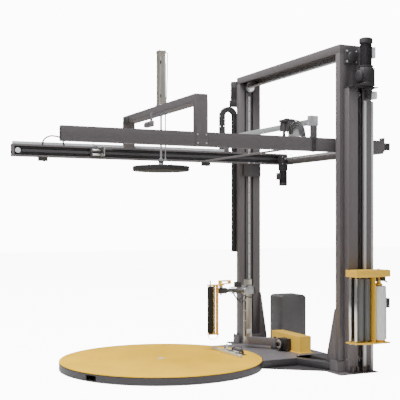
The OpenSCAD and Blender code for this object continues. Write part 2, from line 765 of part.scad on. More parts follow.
module film_spool() {
    z0 = carriage_z + 12;
    roll_z = z0 + 22;
    color("#d8d9d6") difference() {
        rod_z(film_pos, film_r, roll_z, roll_z + film_w);
        rod_z(film_pos, core_r, roll_z - eps, roll_z + film_w + eps);
    }
    color(dark) rod_z(film_pos, 60, z0 + clear, roll_z);
    color(yellow) {
        rod_z(film_pos, core_r, roll_z, roll_z + film_w);
        rod_z(film_pos, 20, roll_z + film_w, housing_z - clear);
        rod_z(film_pos, 12, z0 - 12, z0 + 1);
        rod_z(film_pos, 12, housing_z - 1, housing_z + 18);
    }
}

module carriage_roller(p, r, journal) {
    rod_z(p, r, carriage_z + 24, housing_z - 14);
    rod_z(p, journal, carriage_z + 1, housing_z + 18);
}

module stretch_roller_a() color("#4a4c4b") carriage_roller(roller_a_pos, stretch_roller_r, journal_r);

module stretch_roller_b() color("#4a4c4b") carriage_roller(roller_b_pos, stretch_roller_r, journal_r);

module guide_roller_a() color(alu) carriage_roller(guide_a_pos, guide_roller_r, 6);

module guide_roller_b() color(alu) carriage_roller(guide_b_pos, guide_roller_r, 6);

// ---------- top frame ----------

module frame_beams() {
    color(frame_grey) {
        both_sides() difference() {
            box([frame_x0, beam_y0, frame_z], [frame_x1, beam_y1, beam_top]);
            box([frame_x0 + 25, beam_y0 - eps, frame_z + 20], [frame_x1 - 52, beam_y1 - beam_back, beam_top - 20]);
            rod_y([pulley_front_x, lane_z], 8 + fit, beam_y0, beam_y1 - 4);
        }
        box([frame_x1 - 50, -beam_y0, frame_z], [frame_x1, beam_y0, frame_z + 80]);
        for (x = [cutter_x - 330, cutter_x - 280]) rod_y([x, frame_z + 10], 6, -beam_y0, beam_y0);
    }
    color(alu) for (x = [[frame_x0 + 10, -portal_w / 2 - 1], [portal_w / 2 + 1, cutter_x - 34]])
        box([x[0], beam_y0 + 8, beam_top], [x[1], beam_y1 - 8, beam_top + 28]);
    color(alu) both_sides() {
        box([frame_x0 + 110, beam_y1 - beam_back - 16, lane_z - 14], [pulley_rear_x - 45, beam_y1 - beam_back, lane_z + 14]);
    }
    color(dark) {
        for (x = [-1000, 880]) box([x, beam_y0 + 4, frame_z - 38], [x + 95, beam_y1 - 6, frame_z]);
        box([frame_x1, -beam_y1, frame_z + 20], [frame_x1 + 14, -beam_y0 + 20, beam_top + 30]);
        box([frame_x1 + 14, -beam_y1 + 15, frame_z + 40], [frame_x1 + 90, -beam_y0 + 5, beam_top - 20]);
    }
}

module lift_plates() color(dark) both_sides() {
    x0 = belt_x - 78;
    x1 = belt_x + 142;
    box([x0, beam_y1, frame_z], [x1, beam_y1 + 8, beam_top]);
    box([x0, beam_y1 + 8, frame_z - 145], [x1, beam_y1 + 20, beam_top]);
    for (z = [frame_z - 130, beam_top - 70]) difference() {
        box([belt_x - rail_w / 2 - 18, beam_y1 + 20, z], [belt_x + rail_w / 2 + 18, col_y - 1, z + 60]);
        box([belt_x - rail_w / 2 - clear, col_y - rail_t - clear, z - eps],
            [belt_x + rail_w / 2 + clear, col_y, z + 61]);
    }
    box([belt_x - slot_off + clear, beam_y1 + 20, frame_z - 60],
        [belt_x - slot_off + slot_w / 2 - 3, col_y + belt_y0 + belt_w, frame_z + 20]);
}

module press_portal() {
    bottom = portal_z - portal_beam_h;
    color(frame_grey) difference() {
        union() {
            box([-portal_w / 2, -beam_y1, bottom], [portal_w / 2, beam_y1, portal_z]);
            both_sides() {
                box([-portal_w / 2, beam_y0, beam_top], [portal_w / 2, beam_y1, bottom]);
                box([-portal_w / 2, beam_y1, frame_z + 5], [portal_w / 2, beam_y1 + 6, bottom + 20]);
            }
        }
        rod_z([0, 0], piston_rod_r + 6, bottom - eps, portal_z + eps);
        rod_z([guide_rod_x, 0], guide_rod_r + fit, bottom - eps, portal_z + eps);
    }
    color(steel) both_sides() for (x = [-42, 42], z = [frame_z + 30, frame_z + 105])
        rod_y([x, z], 8, beam_y1 + 6, beam_y1 + 14);
}

module press_cylinder() {
    half = press_cyl_w / 2;
    color(warm_alu) difference() {
        union() {
            box([-half - 6, -half - 18, portal_z], [half - 4, half + 18, portal_z + 15]);
            box([-half, -half, cylinder_z0], [half, half, cylinder_z1]);
            box([-half - 4, -half - 4, cylinder_z1], [half + 4, half + 4, cylinder_z1 + 25]);
        }
        rod_z([0, 0], piston_rod_r + fit, portal_z - eps, portal_z + 16);
        rod_z([0, 0], 28, cylinder_z0, cylinder_z1);
    }
}

module press_rods() {
    color(steel) {
        rod_z([0, 0], piston_rod_r, rod_z0 + 15, cylinder_z1 - 30);
        rod_z([0, 0], 28 - clear, cylinder_z1 - 34, cylinder_z1 - 4);
        rod_z([guide_rod_x, 0], guide_rod_r, rod_z0 + 15, portal_z + press_stroke + 15);
        box([-28, -26, rod_z0], [guide_rod_x + 20, 26, rod_z0 + 15]);
        rod_z([0, 0], 24, platen_z + platen_t + 8, rod_z0);
        rod_z([0, 0], 150, platen_z + platen_t, platen_z + platen_t + 8);
    }
}

module press_platen() color("#1e1d1c") rod_z_fine([0, 0], platen_d / 2, platen_z, platen_z + platen_t);

module belt_gearmotor() {
    y1 = beam_y0 - 14;
    y0 = y1 - 80;
    color("#3b3745") difference() {
        union() {
            box([pulley_rear_x - 42, y0, frame_z - 65], [pulley_rear_x + 38, y1, lane_z + 36]);
            rod_z([pulley_rear_x - 2, (y0 + y1) / 2], 42, frame_z - 250, frame_z - 65);
            box([pulley_rear_x - 20, y1, frame_z + 2], [pulley_rear_x + 20, beam_y0, frame_z + 18]);
        }
        rod_y([pulley_rear_x, lane_z], belt_shaft_r + fit, y0 - eps, y1 + eps);
    }
}

module gripper_belts() color(dark) both_sides()
    translate([pulley_front_x, beam_y0 + 8 + 18, lane_z]) rotate([90, 0, 0]) rotate(-90)
        linear_extrude(18) loop_outline(pulley_rear_x - pulley_front_x, grip_pulley_r + clear, 3);

module front_pulleys() color(steel) both_sides() {
    rod_y([pulley_front_x, lane_z], grip_pulley_r, beam_y0 + 6, beam_y0 + 28);
    rod_y([pulley_front_x, lane_z], 8, beam_y0 + 28, beam_y1 - 6);
}

module belt_shaft() color(steel) {
    rod_y([pulley_rear_x, lane_z], belt_shaft_r, -beam_y0 - 6, beam_y0 + 6);
    both_sides() rod_y([pulley_rear_x, lane_z], grip_pulley_r, beam_y0 + 6, beam_y0 + 28);
}

// Rail, posts and knock-down bar of the sheet cutter.
module cutter_bridge() {
    half = cutter_rail / 2;
    color(alu) difference() {
        box([cutter_x - half, -beam_y0 + 12, cutter_z], [cutter_x + half, beam_y1 + 4, cutter_z + cutter_rail]);
        box([cutter_x - 6, -beam_y0 + 30, cutter_z + cutter_rail - 8], [cutter_x + 6, beam_y1 - 20, cutter_z + cutter_rail + eps]);
    }
    color(steel_grey) both_sides() box([cutter_x - 30, beam_y0 + 8, beam_top], [cutter_x + 30, beam_y1 - 8, cutter_z]);
    color(alu) box([cutter_x - 48, -beam_y1 + 6, cutter_z - 18], [cutter_x + 40, -beam_y0 + 12, cutter_z + 78]);
}

module cutter_carriage() {
    half = cutter_rail / 2;
    y0 = -beam_y0 + cutter_park;
    z1 = cutter_z + cutter_rail;
    color(dark) difference() {
        box([cutter_x - half - 14, y0, cutter_z - 20], [cutter_x + half + 14, y0 + cutter_len, z1 + 20]);
        box([cutter_x - half - clear, y0 - eps, cutter_z - clear],
            [cutter_x + half + clear, y0 + cutter_len + eps, z1 + clear]);
        box([cutter_x - half - clear, y0 - eps, cutter_z - 21], [cutter_x + 8, y0 + cutter_len + eps, cutter_z]);
    }
    color(alu) box([cutter_x - 62, y0 + 20, z1 + 20], [cutter_x + 40, y0 + cutter_len - 20, z1 + 42]);
    color(steel) {
        box([cutter_x - half - 24, y0 + 70, cutter_z - 100], [cutter_x - half - 14, y0 + 110, z1 + 10]);
        box([cutter_x - half - 21, y0 + 78, cutter_z - 118], [cutter_x - half - 17, y0 + 102, cutter_z - 100]);
    }
}

module gripper_slides() both_sides() {
    face = beam_y0 - 4;
    color(dark) difference() {
        box([gripper_x - 70, face, lane_z - 26], [gripper_x + 90, beam_y1 - beam_back - 16 - clear, lane_z + 26]);
        box([gripper_x - 71, beam_y0 + 2, lane_z + 24], [gripper_x + 91, beam_y1, lane_z + 27]);
    }
    color(dark) box([gripper_x - 70, face - 10, lane_z - 45], [gripper_x + 90, face, lane_z + 45]);
    color(alu) difference() {
        box([gripper_x + 20, face - 130, lane_z + 25], [gripper_x + 60, face - 10, lane_z + 45]);
        rod_y([gripper_x + 40, lane_z + 35], 5 + fit, face - 131, face - 9);
    }
    color(steel) rod_x([face - 60, lane_z + 35], 8, gripper_x + 60, gripper_x + 150);
}

module gripper_jaws() color(alu) both_sides() {
    face = beam_y0 - 4;
    axis = [gripper_x + 40, lane_z + 35];
    rod_y(axis, 5, face - 150, face - 11);
    box([axis[0] - 8, face - 150, axis[1] - 8], [axis[0] + 8, face - 131, axis[1] + 8]);
    box([axis[0] - 4, face - 144, axis[1] - 70], [axis[0] + 4, face - 132, axis[1]]);
    box([axis[0] - 6, face - 144, axis[1] - 78], [axis[0] + 6, face - 24, axis[1] - 60]);
}

// ---------- cabinet ----------

module cabinet_body() color("#5a5557") {
    difference() {
        box([cab_x0, cab_y0, 0], [cab_x1, cab_y1, cabinet_h]);
        box([cab_x0 + cabinet_wall, cab_y0 + cabinet_wall, cabinet_wall],
            [cab_x1 + eps, cab_y1 - hinge_strip, cabinet_h - cabinet_wall]);
    }
    translate([0, cab_y1, cabinet_h]) rotate([90, 0, 0]) linear_extrude(cabinet_d)
        polygon([[cab_x0, 0], [cab_x1, 0], [cab_x1, lid_h * 0.3], [cab_x1 - lid_h, lid_h],
                 [cab_x0 + lid_h, lid_h], [cab_x0, lid_h * 0.3]]);
    for (z = [60, cabinet_h - 198]) {
        box([cab_x1, cab_y1 - 10, z], [cab_x1 + 16, cab_y1, z + 40]);
        rod_z(door_axis, 3, z + 39, z + 90);
    }
}

module cabinet_board() {
    x0 = cab_x0 + cabinet_wall;
    color(steel) box([x0, cab_y0 + 30, 40], [x0 + 3, cab_y1 - 30, cabinet_h - 40]);
    color(dark) for (z = [70, 190, 310]) for (i = [0:2])
        box([x0 + 3, cab_y0 + 45 + 62 * i, z], [x0 + 75, cab_y0 + 95 + 62 * i, z + 85]);
}

door_axis = [cab_x1 + 8, cab_y1 - 5];

module cabinet_door() color("#5a5557") difference() {
    union() {
        box([cab_x1 + clear, cab_y0, 6], [cab_x1 + 3 + clear, cab_y1 - hinge_strip + 1, cabinet_h - 6]);
        for (z = [100 + clear, cabinet_h - 158 + clear]) {
            rod_z(door_axis, 5, z, z + 58);
            box([cab_x1 + 2.4, cab_y1 - hinge_strip, z], [door_axis[0], cab_y1 - 4, z + 58]);
        }
    }
    rod_z(door_axis, 3 + fit, 0, cabinet_h);
    rod_x([cab_y0 + 34, cabinet_h / 2], 8 + fit, cab_x1, cab_x1 + 5);
}

module door_latch() color(dark) {
    rod_x([cab_y0 + 34, cabinet_h / 2], 8, cab_x1 + clear + 0.2, cab_x1 + 14);
    box([cab_x1 + 10, cab_y0 + 27, cabinet_h / 2 - 42], [cab_x1 + 18, cab_y0 + 41, cabinet_h / 2 + 10]);
}

base_floor_plate();
base_ring();
base_frame();
deck_plate();
slewing_race();
table_gearmotor();
roller_brackets();
columns();
top_beam();
column_feet();
guide_rails();
shaft_bearings();
lift_belts();
lift_gearmotor();
film_mast();
mast_chain();
mast_gearmotor();
cable_guides();
brush_base();
brush_gearmotor();
cabinet_body();
cabinet_board();
turntable_plate();
slewing_gear();
clamp_base();
clamp_bar();
drive_pinion();
for (i = [1:support_rollers]) support_roller(i);
lift_shaft();
lift_idlers();
mast_sprocket(sprocket_top_z);  // mast_sprocket_top
mast_sprocket(sprocket_low_z);  // mast_sprocket_low
carriage_plate();
carriage_frame();
film_spool();
stretch_roller_a();
stretch_roller_b();
guide_roller_a();
guide_roller_b();
frame_beams();
lift_plates();
press_portal();
press_cylinder();
belt_gearmotor();
gripper_belts();
cutter_bridge();
belt_shaft();
front_pulleys();
gripper_slides();
gripper_jaws();
cutter_carriage();
press_rods();
press_platen();
swing_arm();
brush_head();
sponge_roller();
cabinet_door();
door_latch();
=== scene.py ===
"""Looks, trim and finishes of a gantry turntable pallet wrapper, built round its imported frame."""

import logging
import math
from dataclasses import dataclass
from enum import Enum
from typing import Callable, Iterable, Sequence

import bpy
from mathutils import Matrix, Vector


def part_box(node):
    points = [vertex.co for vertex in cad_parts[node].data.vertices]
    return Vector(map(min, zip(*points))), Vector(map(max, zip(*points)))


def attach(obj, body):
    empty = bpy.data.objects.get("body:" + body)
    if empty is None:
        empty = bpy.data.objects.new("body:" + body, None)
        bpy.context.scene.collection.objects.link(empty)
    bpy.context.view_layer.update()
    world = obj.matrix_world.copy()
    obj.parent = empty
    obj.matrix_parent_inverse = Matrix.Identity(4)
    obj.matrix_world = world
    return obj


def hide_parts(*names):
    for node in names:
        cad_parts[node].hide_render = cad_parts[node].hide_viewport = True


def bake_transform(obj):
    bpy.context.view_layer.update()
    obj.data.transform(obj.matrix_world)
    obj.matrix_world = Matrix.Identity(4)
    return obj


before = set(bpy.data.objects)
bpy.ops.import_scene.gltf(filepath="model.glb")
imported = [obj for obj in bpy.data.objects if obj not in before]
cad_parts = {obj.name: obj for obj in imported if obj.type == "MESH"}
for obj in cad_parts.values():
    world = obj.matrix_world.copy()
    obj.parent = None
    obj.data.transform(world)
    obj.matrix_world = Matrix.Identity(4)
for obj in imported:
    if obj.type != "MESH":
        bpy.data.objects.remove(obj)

log = logging.getLogger("wrapper")
Test = Callable[[Vector, Vector], bool]

# Sides of a turned piece, by how large it looks.
HEX = 6
FACETS_SMALL = 16
FACETS_MEDIUM = 24
FACETS = 32
FACETS_FINE = 40
FACETS_LARGE = 48
FACETS_TABLE = 192

# Widths of broken edges, in metres.
EDGE_FOIL = 0.0004
EDGE_SHEET = 0.0008
EDGE_THIN = 0.001
EDGE_PLATE = 0.0015
EDGE_STEEL = 0.002
EDGE_TUBE = 0.003

# Radii of bolt heads, in metres.
HEAD_SMALL = 0.005
HEAD_MEDIUM = 0.006

# Angles of the four bolts of a square flange.
CORNER_ANGLES = tuple(math.pi / 4 + i * math.pi / 2 for i in range(4))


class Axis(Enum):
    """Direction that a turned piece, rod or bolt points in."""

    X = (1.0, 0.0, 0.0)
    Y = (0.0, 1.0, 0.0)
    Z = (0.0, 0.0, 1.0)
    MINUS_X = (-1.0, 0.0, 0.0)
    MINUS_Y = (0.0, -1.0, 0.0)
    MINUS_Z = (0.0, 0.0, -1.0)

    @property
    def vector(self) -> Vector:
        """The direction as a vector."""
        return Vector(self.value)

    @property
    def turn(self) -> Matrix:
        """Rotation that takes +Z to this direction."""
        return Vector((0.0, 0.0, 1.0)).rotation_difference(self.vector).to_matrix().to_4x4()


# ---------- finishes ----------


class Pattern(Enum):
    """Fine surface structure of a finish."""

    POWDER = "powder"
    BRUSHED = "brushed"
    CAST = "cast"
    FOAM = "foam"
    FILM = "film"
    TOOTHED = "toothed"
    DISC = "disc"


@dataclass(frozen=True)
class Finish:
    """One surface finish and the record's slot that it belongs to."""

    slot: str
    colour: tuple[float, float, float]
    worn: tuple[float, float, float]
    rough: float
    metal: float = 0.0
    coat: float = 0.0
    pattern: Pattern = Pattern.POWDER
    scale: float = 700.0
    stretch: tuple[float, float, float] = (1.0, 1.0, 1.0)
    relief: float = 0.0002
    wear: float = 0.25
    label: str = ""

    @property
    def name(self) -> str:
        """Name of the finish's material."""
        return self.label or self.slot

    def material(self) -> bpy.types.Material:
        """The material of this finish, made on its first use."""
        made = bpy.data.materials.get(self.name)
        return made or MaterialShop().make(self)


class MaterialShop:
    """Makes materials from the shared pattern and weather groups."""

    def make(self, finish: Finish) -> bpy.types.Material:
        """Builds one material.

        Args:
            finish: The finish to build.

        Returns:
            The new material.
        """
        material = bpy.data.materials.new(finish.name)
        material.use_nodes = True
        tree = material.node_tree
        shader = tree.nodes["Principled BSDF"]
        place = tree.nodes.new("ShaderNodeTexCoord").outputs["Object"]
        pattern = self.group(tree, f"pattern_{finish.pattern.value}", PATTERNS[finish.pattern])
        pattern.inputs["Scale"].default_value = finish.scale
        pattern.inputs["Stretch"].default_value = finish.stretch
        weather = self.group(tree, "weather", weather_group)
        weather.inputs["Amount"].default_value = finish.wear
        tree.links.new(place, pattern.inputs["Vector"])
        tree.links.new(place, weather.inputs["Vector"])
        shade = self.mix(tree, finish.colour, tuple(0.8 * c for c in finish.colour),
                         pattern.outputs["Shade"])
        worn = self.mix(tree, shade, finish.worn, weather.outputs["Mask"])
        tree.links.new(worn, shader.inputs["Base Color"])
        rough = tree.nodes.new("ShaderNodeMapRange")
        rough.inputs["To Min"].default_value = finish.rough
        rough.inputs["To Max"].default_value = min(1.0, finish.rough + 0.22)
        tree.links.new(weather.outputs["Grime"], rough.inputs["Value"])
        tree.links.new(rough.outputs["Result"], shader.inputs["Roughness"])
        bump = tree.nodes.new("ShaderNodeBump")
        bump.inputs["Distance"].default_value = finish.relief
        bump.inputs["Strength"].default_value = 0.6
        tree.links.new(pattern.outputs["Height"], bump.inputs["Height"])
        tree.links.new(bump.outputs["Normal"], shader.inputs["Normal"])
        shader.inputs["Metallic"].default_value = finish.metal
        shader.inputs["Coat Weight"].default_value = finish.coat
        material.diffuse_color = (*finish.colour, 1.0)
        return material

    @staticmethod
    def group(tree: bpy.types.NodeTree, name: str, build: Callable) -> bpy.types.Node:
        """Places a shared group in a material, and builds it on its first use.

        Args:
            tree: The material's node tree.
            name: Name of the group.
            build: Function that fills the new group.

        Returns:
            The group's node.
        """
        shared = bpy.data.node_groups.get(name)
        if shared is None:
            shared = bpy.data.node_groups.new(name, "ShaderNodeTree")
            build(shared)
        node = tree.nodes.new("ShaderNodeGroup")
        node.node_tree = shared
        return node

    @staticmethod
    def mix(tree: bpy.types.NodeTree, first, second, factor) -> bpy.types.NodeSocket:
        """Mixes two colours, each a tuple or a socket, and returns the result's socket."""
        node = tree.nodes.new("ShaderNodeMix")
        node.data_type = "RGBA"
        tree.links.new(factor, node.inputs["Factor"])
        for socket, value in ((node.inputs[6], first), (node.inputs[7], second)):
            if isinstance(value, tuple):
                socket.default_value = (*value, 1.0)
            else:
                tree.links.new(value, socket)
        return node.outputs[2]


class GroupMaker:
    """Small helper that fills a shader node group."""

    def __init__(self, tree: bpy.types.NodeTree, floats: Sequence[str], outputs: Sequence[str]) -> None:
        """Gives the group its sockets.

        Args:
            tree: The group.
            floats: Names of its number inputs, next to Vector.
            outputs: Names of its number outputs.
        """
        self.tree = tree
        tree.interface.new_socket("Vector", in_out="INPUT", socket_type="NodeSocketVector")
        for name in floats:
            tree.interface.new_socket(name, in_out="INPUT", socket_type="NodeSocketFloat")
        if "Scale" in floats:
            tree.interface.new_socket("Stretch", in_out="INPUT", socket_type="NodeSocketVector")
        for name in outputs:
            tree.interface.new_socket(name, in_out="OUTPUT", socket_type="NodeSocketFloat")
        self.inputs = tree.nodes.new("NodeGroupInput").outputs
        self.outputs = tree.nodes.new("NodeGroupOutput").inputs

    def link(self, source, target) -> None:
        """Links a socket, or sets a plain value."""
        if isinstance(source, (int, float, tuple)):
            target.default_value = source
        else:
            self.tree.links.new(source, target)

    def vector(self, operation: str, first, second) -> bpy.types.NodeSocket:
        """A vector operation's vector output."""
        node = self.tree.nodes.new("ShaderNodeVectorMath")
        node.operation = operation
        self.link(first, node.inputs[0])
        self.link(second, node.inputs[1])
        return node.outputs["Value"] if operation in ("LENGTH", "DOT_PRODUCT") else node.outputs["Vector"]

    def math(self, operation: str, first, second=0.0) -> bpy.types.NodeSocket:
        """A number operation's output."""
        node = self.tree.nodes.new("ShaderNodeMath")
        node.operation = operation
        self.link(first, node.inputs[0])
        self.link(second, node.inputs[1])
        return node.outputs[0]

    def noise(self, vector, scale, detail: float = 3.0) -> bpy.types.NodeSocket:
        """Noise at a scale."""
        node = self.tree.nodes.new("ShaderNodeTexNoise")
        node.inputs["Detail"].default_value = detail
        self.link(vector, node.inputs["Vector"])
        self.link(scale, node.inputs["Scale"])
        return node.outputs["Fac"]

    def ramp(self, value, low: float, high: float, to_low: float = 0.0, to_high: float = 1.0):
        """A value from low to high mapped to another range, clamped."""
        node = self.tree.nodes.new("ShaderNodeMapRange")
        for name, number in (("From Min", low), ("From Max", high), ("To Min", to_low), ("To Max", to_high)):
            node.inputs[name].default_value = number
        self.link(value, node.inputs["Value"])
        return node.outputs["Result"]


def weather_group(tree: bpy.types.NodeTree) -> None:
    """Scuffs and dust: thin marks all over, and more of them near the floor."""
    maker = GroupMaker(tree, ["Amount"], ["Mask", "Grime"])
    split = tree.nodes.new("ShaderNodeSeparateXYZ")
    maker.link(maker.inputs["Vector"], split.inputs[0])
    low = maker.ramp(split.outputs["Z"], 0.0, 0.5, 1.0, 0.25)
    cloud = maker.ramp(maker.noise(maker.inputs["Vector"], 2.3, 5.0), 0.45, 0.7)
    specks = maker.ramp(maker.noise(maker.inputs["Vector"], 70.0, 6.0), 0.62, 0.72)
    both = maker.math("ADD", maker.math("MULTIPLY", cloud, 0.45), maker.math("MULTIPLY", specks, 0.55))
    maker.link(maker.math("MULTIPLY", maker.math("MULTIPLY", both, low), maker.inputs["Amount"]),
               maker.outputs["Mask"])
    maker.link(cloud, maker.outputs["Grime"])


def powder_pattern(tree: bpy.types.NodeTree) -> None:
    """Orange-peel structure of a powder coat with soft changes of shade."""
    maker = GroupMaker(tree, ["Scale"], ["Shade", "Height"])
    maker.link(maker.noise(maker.inputs["Vector"], maker.inputs["Scale"], 1.0), maker.outputs["Height"])
    maker.link(maker.ramp(maker.noise(maker.inputs["Vector"], 1.7, 2.0), 0.3, 0.7), maker.outputs["Shade"])


def brushed_pattern(tree: bpy.types.NodeTree) -> None:
    """Fine lines left by grinding or drawing, along the axis that Stretch makes short."""
    maker = GroupMaker(tree, ["Scale"], ["Shade", "Height"])
    pulled = maker.vector("MULTIPLY", maker.inputs["Vector"], maker.inputs["Stretch"])
    lines = maker.noise(pulled, maker.inputs["Scale"], 4.0)
    maker.link(maker.ramp(lines, 0.3, 0.7), maker.outputs["Shade"])
    maker.link(lines, maker.outputs["Height"])


def cast_pattern(tree: bpy.types.NodeTree) -> None:
    """Sand-cast skin under paint."""
    maker = GroupMaker(tree, ["Scale"], ["Shade", "Height"])
    coarse = maker.noise(maker.inputs["Vector"], maker.inputs["Scale"], 6.0)
    maker.link(coarse, maker.outputs["Height"])
    maker.link(maker.ramp(coarse, 0.35, 0.65), maker.outputs["Shade"])


def foam_pattern(tree: bpy.types.NodeTree) -> None:
    """Open cells of foam."""
    maker = GroupMaker(tree, ["Scale"], ["Shade", "Height"])
    cells = tree.nodes.new("ShaderNodeTexVoronoi")
    maker.link(maker.inputs["Vector"], cells.inputs["Vector"])
    maker.link(maker.inputs["Scale"], cells.inputs["Scale"])
    maker.link(cells.outputs["Distance"], maker.outputs["Height"])
    maker.link(maker.ramp(cells.outputs["Distance"], 0.0, 0.7), maker.outputs["Shade"])


def film_pattern(tree: bpy.types.NodeTree) -> None:
    """Tight rings and soft upright streaks of wound film."""
    maker = GroupMaker(tree, ["Scale"], ["Shade", "Height"])
    pulled = maker.vector("MULTIPLY", maker.inputs["Vector"], maker.inputs["Stretch"])
    rings = maker.noise(pulled, maker.inputs["Scale"], 5.0)
    upright = maker.noise(maker.vector("MULTIPLY", maker.inputs["Vector"], (60.0, 60.0, 1.5)), 1.0, 2.0)
    maker.link(maker.ramp(maker.math("MULTIPLY", rings, upright), 0.15, 0.42), maker.outputs["Shade"])
    maker.link(rings, maker.outputs["Height"])


def toothed_pattern(tree: bpy.types.NodeTree) -> None:
    """Even teeth across a belt, or the links of a chain, along the axis that Stretch keeps."""
    maker = GroupMaker(tree, ["Scale"], ["Shade", "Height"])
    along = maker.vector("DOT_PRODUCT", maker.inputs["Vector"], maker.inputs["Stretch"])
    wave = maker.math("SINE", maker.math("MULTIPLY", along, maker.inputs["Scale"]))
    teeth = maker.ramp(wave, -0.3, 0.3)
    maker.link(teeth, maker.outputs["Height"])
    maker.link(maker.ramp(wave, -1.0, 1.0), maker.outputs["Shade"])


def disc_pattern(tree: bpy.types.NodeTree) -> None:
    """Rolled sheet with faint rings round the middle, as a turning table gets."""
    maker = GroupMaker(tree, ["Scale"], ["Shade", "Height"])
    flat = maker.vector("MULTIPLY", maker.inputs["Vector"], (1.0, 1.0, 0.0))
    away = maker.vector("LENGTH", flat, (0.0, 0.0, 0.0))
    joined = tree.nodes.new("ShaderNodeCombineXYZ")
    maker.link(away, joined.inputs["X"])
    rings = maker.noise(joined.outputs[0], 45.0, 6.0)
    patches = maker.noise(maker.inputs["Vector"], 3.0, 4.0)
    maker.link(maker.ramp(maker.math("MULTIPLY", rings, patches), 0.2, 0.4), maker.outputs["Shade"])
    maker.link(maker.noise(maker.inputs["Vector"], maker.inputs["Scale"], 1.0), maker.outputs["Height"])


PATTERNS = {
    Pattern.POWDER: powder_pattern,
    Pattern.BRUSHED: brushed_pattern,
    Pattern.CAST: cast_pattern,
    Pattern.FOAM: foam_pattern,
    Pattern.FILM: film_pattern,
    Pattern.TOOTHED: toothed_pattern,
    Pattern.DISC: disc_pattern,
}

ALONG_X = (0.02, 1.0, 1.0)
ALONG_Y = (1.0, 0.02, 1.0)
ALONG_Z = (1.0, 1.0, 0.02)

DUST = (0.33, 0.31, 0.29)
FRAME_PAINT = Finish("frame_paint", (0.034, 0.029, 0.031), DUST, 0.5, wear=0.06)
DARK_STEEL = Finish("dark_steel", (0.014, 0.013, 0.0135), DUST, 0.5, wear=0.08)
DECK_PAINT = Finish("deck_paint", (0.06, 0.054, 0.06), (0.16, 0.155, 0.155), 0.55, wear=0.3)
TABLE_PAINT = Finish("yellow_paint", (1.0, 0.58, 0.0), (0.96, 0.54, 0.003), 0.85, pattern=Pattern.DISC,
                     wear=0.3, label="table_paint")
YELLOW_PAINT = Finish("yellow_paint", (0.95, 0.46, 0.0), (0.8, 0.4, 0.01), 0.5, wear=0.06)
CABINET_PAINT = Finish("cabinet_paint", (0.018, 0.016, 0.017), DUST, 0.55, wear=0.06, scale=1100.0,
                       relief=0.0003)
WHITE_PAINT = Finish("white_paint", (0.74, 0.76, 0.78), (0.45, 0.44, 0.42), 0.32, wear=0.25)
MOTOR_PAINT = Finish("motor_paint", (0.035, 0.034, 0.038), DUST, 0.5, pattern=Pattern.CAST, scale=260.0,
                     relief=0.0005, wear=0.3)
BRIGHT_STEEL = Finish("bright_steel", (0.58, 0.58, 0.58), (0.3, 0.28, 0.26), 0.28, metal=1.0,
                      pattern=Pattern.BRUSHED, scale=500.0, stretch=ALONG_Z, relief=0.00005, wear=0.3)
ZINC_PLATE = Finish("zinc_plate", (0.6, 0.61, 0.62), (0.4, 0.4, 0.38), 0.34, metal=0.85,
                    pattern=Pattern.BRUSHED, scale=300.0, stretch=ALONG_Y, relief=0.00006, wear=0.35)
CHAIN_STEEL = Finish("chain_steel", (0.14, 0.13, 0.12), (0.05, 0.04, 0.03), 0.35, metal=0.9,
                     pattern=Pattern.CAST, scale=400.0, wear=0.5)
ROLLER_CHROME = Finish("roller_chrome", (0.78, 0.78, 0.77), (0.5, 0.5, 0.5), 0.12, metal=1.0,
                       pattern=Pattern.BRUSHED, scale=400.0, stretch=ALONG_Z, relief=0.00002, wear=0.15)
ANODISED = Finish("anodised", (0.5, 0.46, 0.4), (0.34, 0.31, 0.27), 0.38, metal=0.6,
                  pattern=Pattern.BRUSHED, scale=420.0, stretch=ALONG_Z, relief=0.00004, wear=0.25)
PALE_ALU = Finish("anodised", (0.62, 0.64, 0.66), (0.42, 0.42, 0.41), 0.34, metal=0.7, label="anodised_pale",
                  pattern=Pattern.BRUSHED, scale=420.0, stretch=ALONG_X, relief=0.00004, wear=0.25)
GREY_RUBBER = Finish("grey_rubber", (0.11, 0.115, 0.11), (0.24, 0.24, 0.23), 0.55, pattern=Pattern.BRUSHED,
                     scale=300.0, stretch=(1.0, 1.0, 6.0), relief=0.0001, wear=0.4)
BELT_RUBBER = Finish("belt_rubber", (0.03, 0.03, 0.033), (0.12, 0.12, 0.12), 0.6, pattern=Pattern.TOOTHED,
                     scale=2 * math.pi / 0.01, stretch=(0.0, 0.0, 1.0), relief=0.002, wear=0.3)
LANE_RUBBER = Finish("belt_rubber", (0.03, 0.03, 0.033), (0.12, 0.12, 0.12), 0.6, pattern=Pattern.TOOTHED,
                     scale=2 * math.pi / 0.01, stretch=(1.0, 0.0, 0.0), relief=0.002, wear=0.3,
                     label="belt_rubber_lane")
BLACK_FOAM = Finish("black_foam", (0.018, 0.018, 0.017), (0.08, 0.08, 0.075), 0.92, pattern=Pattern.FOAM,
                    scale=260.0, relief=0.0015, wear=0.35)
SPONGE = Finish("black_foam", (0.02, 0.024, 0.022), (0.06, 0.1, 0.085), 0.95, pattern=Pattern.FOAM,
                scale=200.0, relief=0.002, wear=0.6, label="black_foam_sponge")
BLACK_PLASTIC = Finish("black_plastic", (0.02, 0.02, 0.021), (0.14, 0.14, 0.14), 0.4, scale=900.0, wear=0.25)
STRETCH_FILM = Finish("stretch_film", (0.92, 0.92, 0.9), (0.55, 0.56, 0.55), 0.16, coat=0.5,
                      pattern=Pattern.FILM, scale=30.0, stretch=(1.0, 1.0, 40.0), relief=0.0003, wear=0.35)

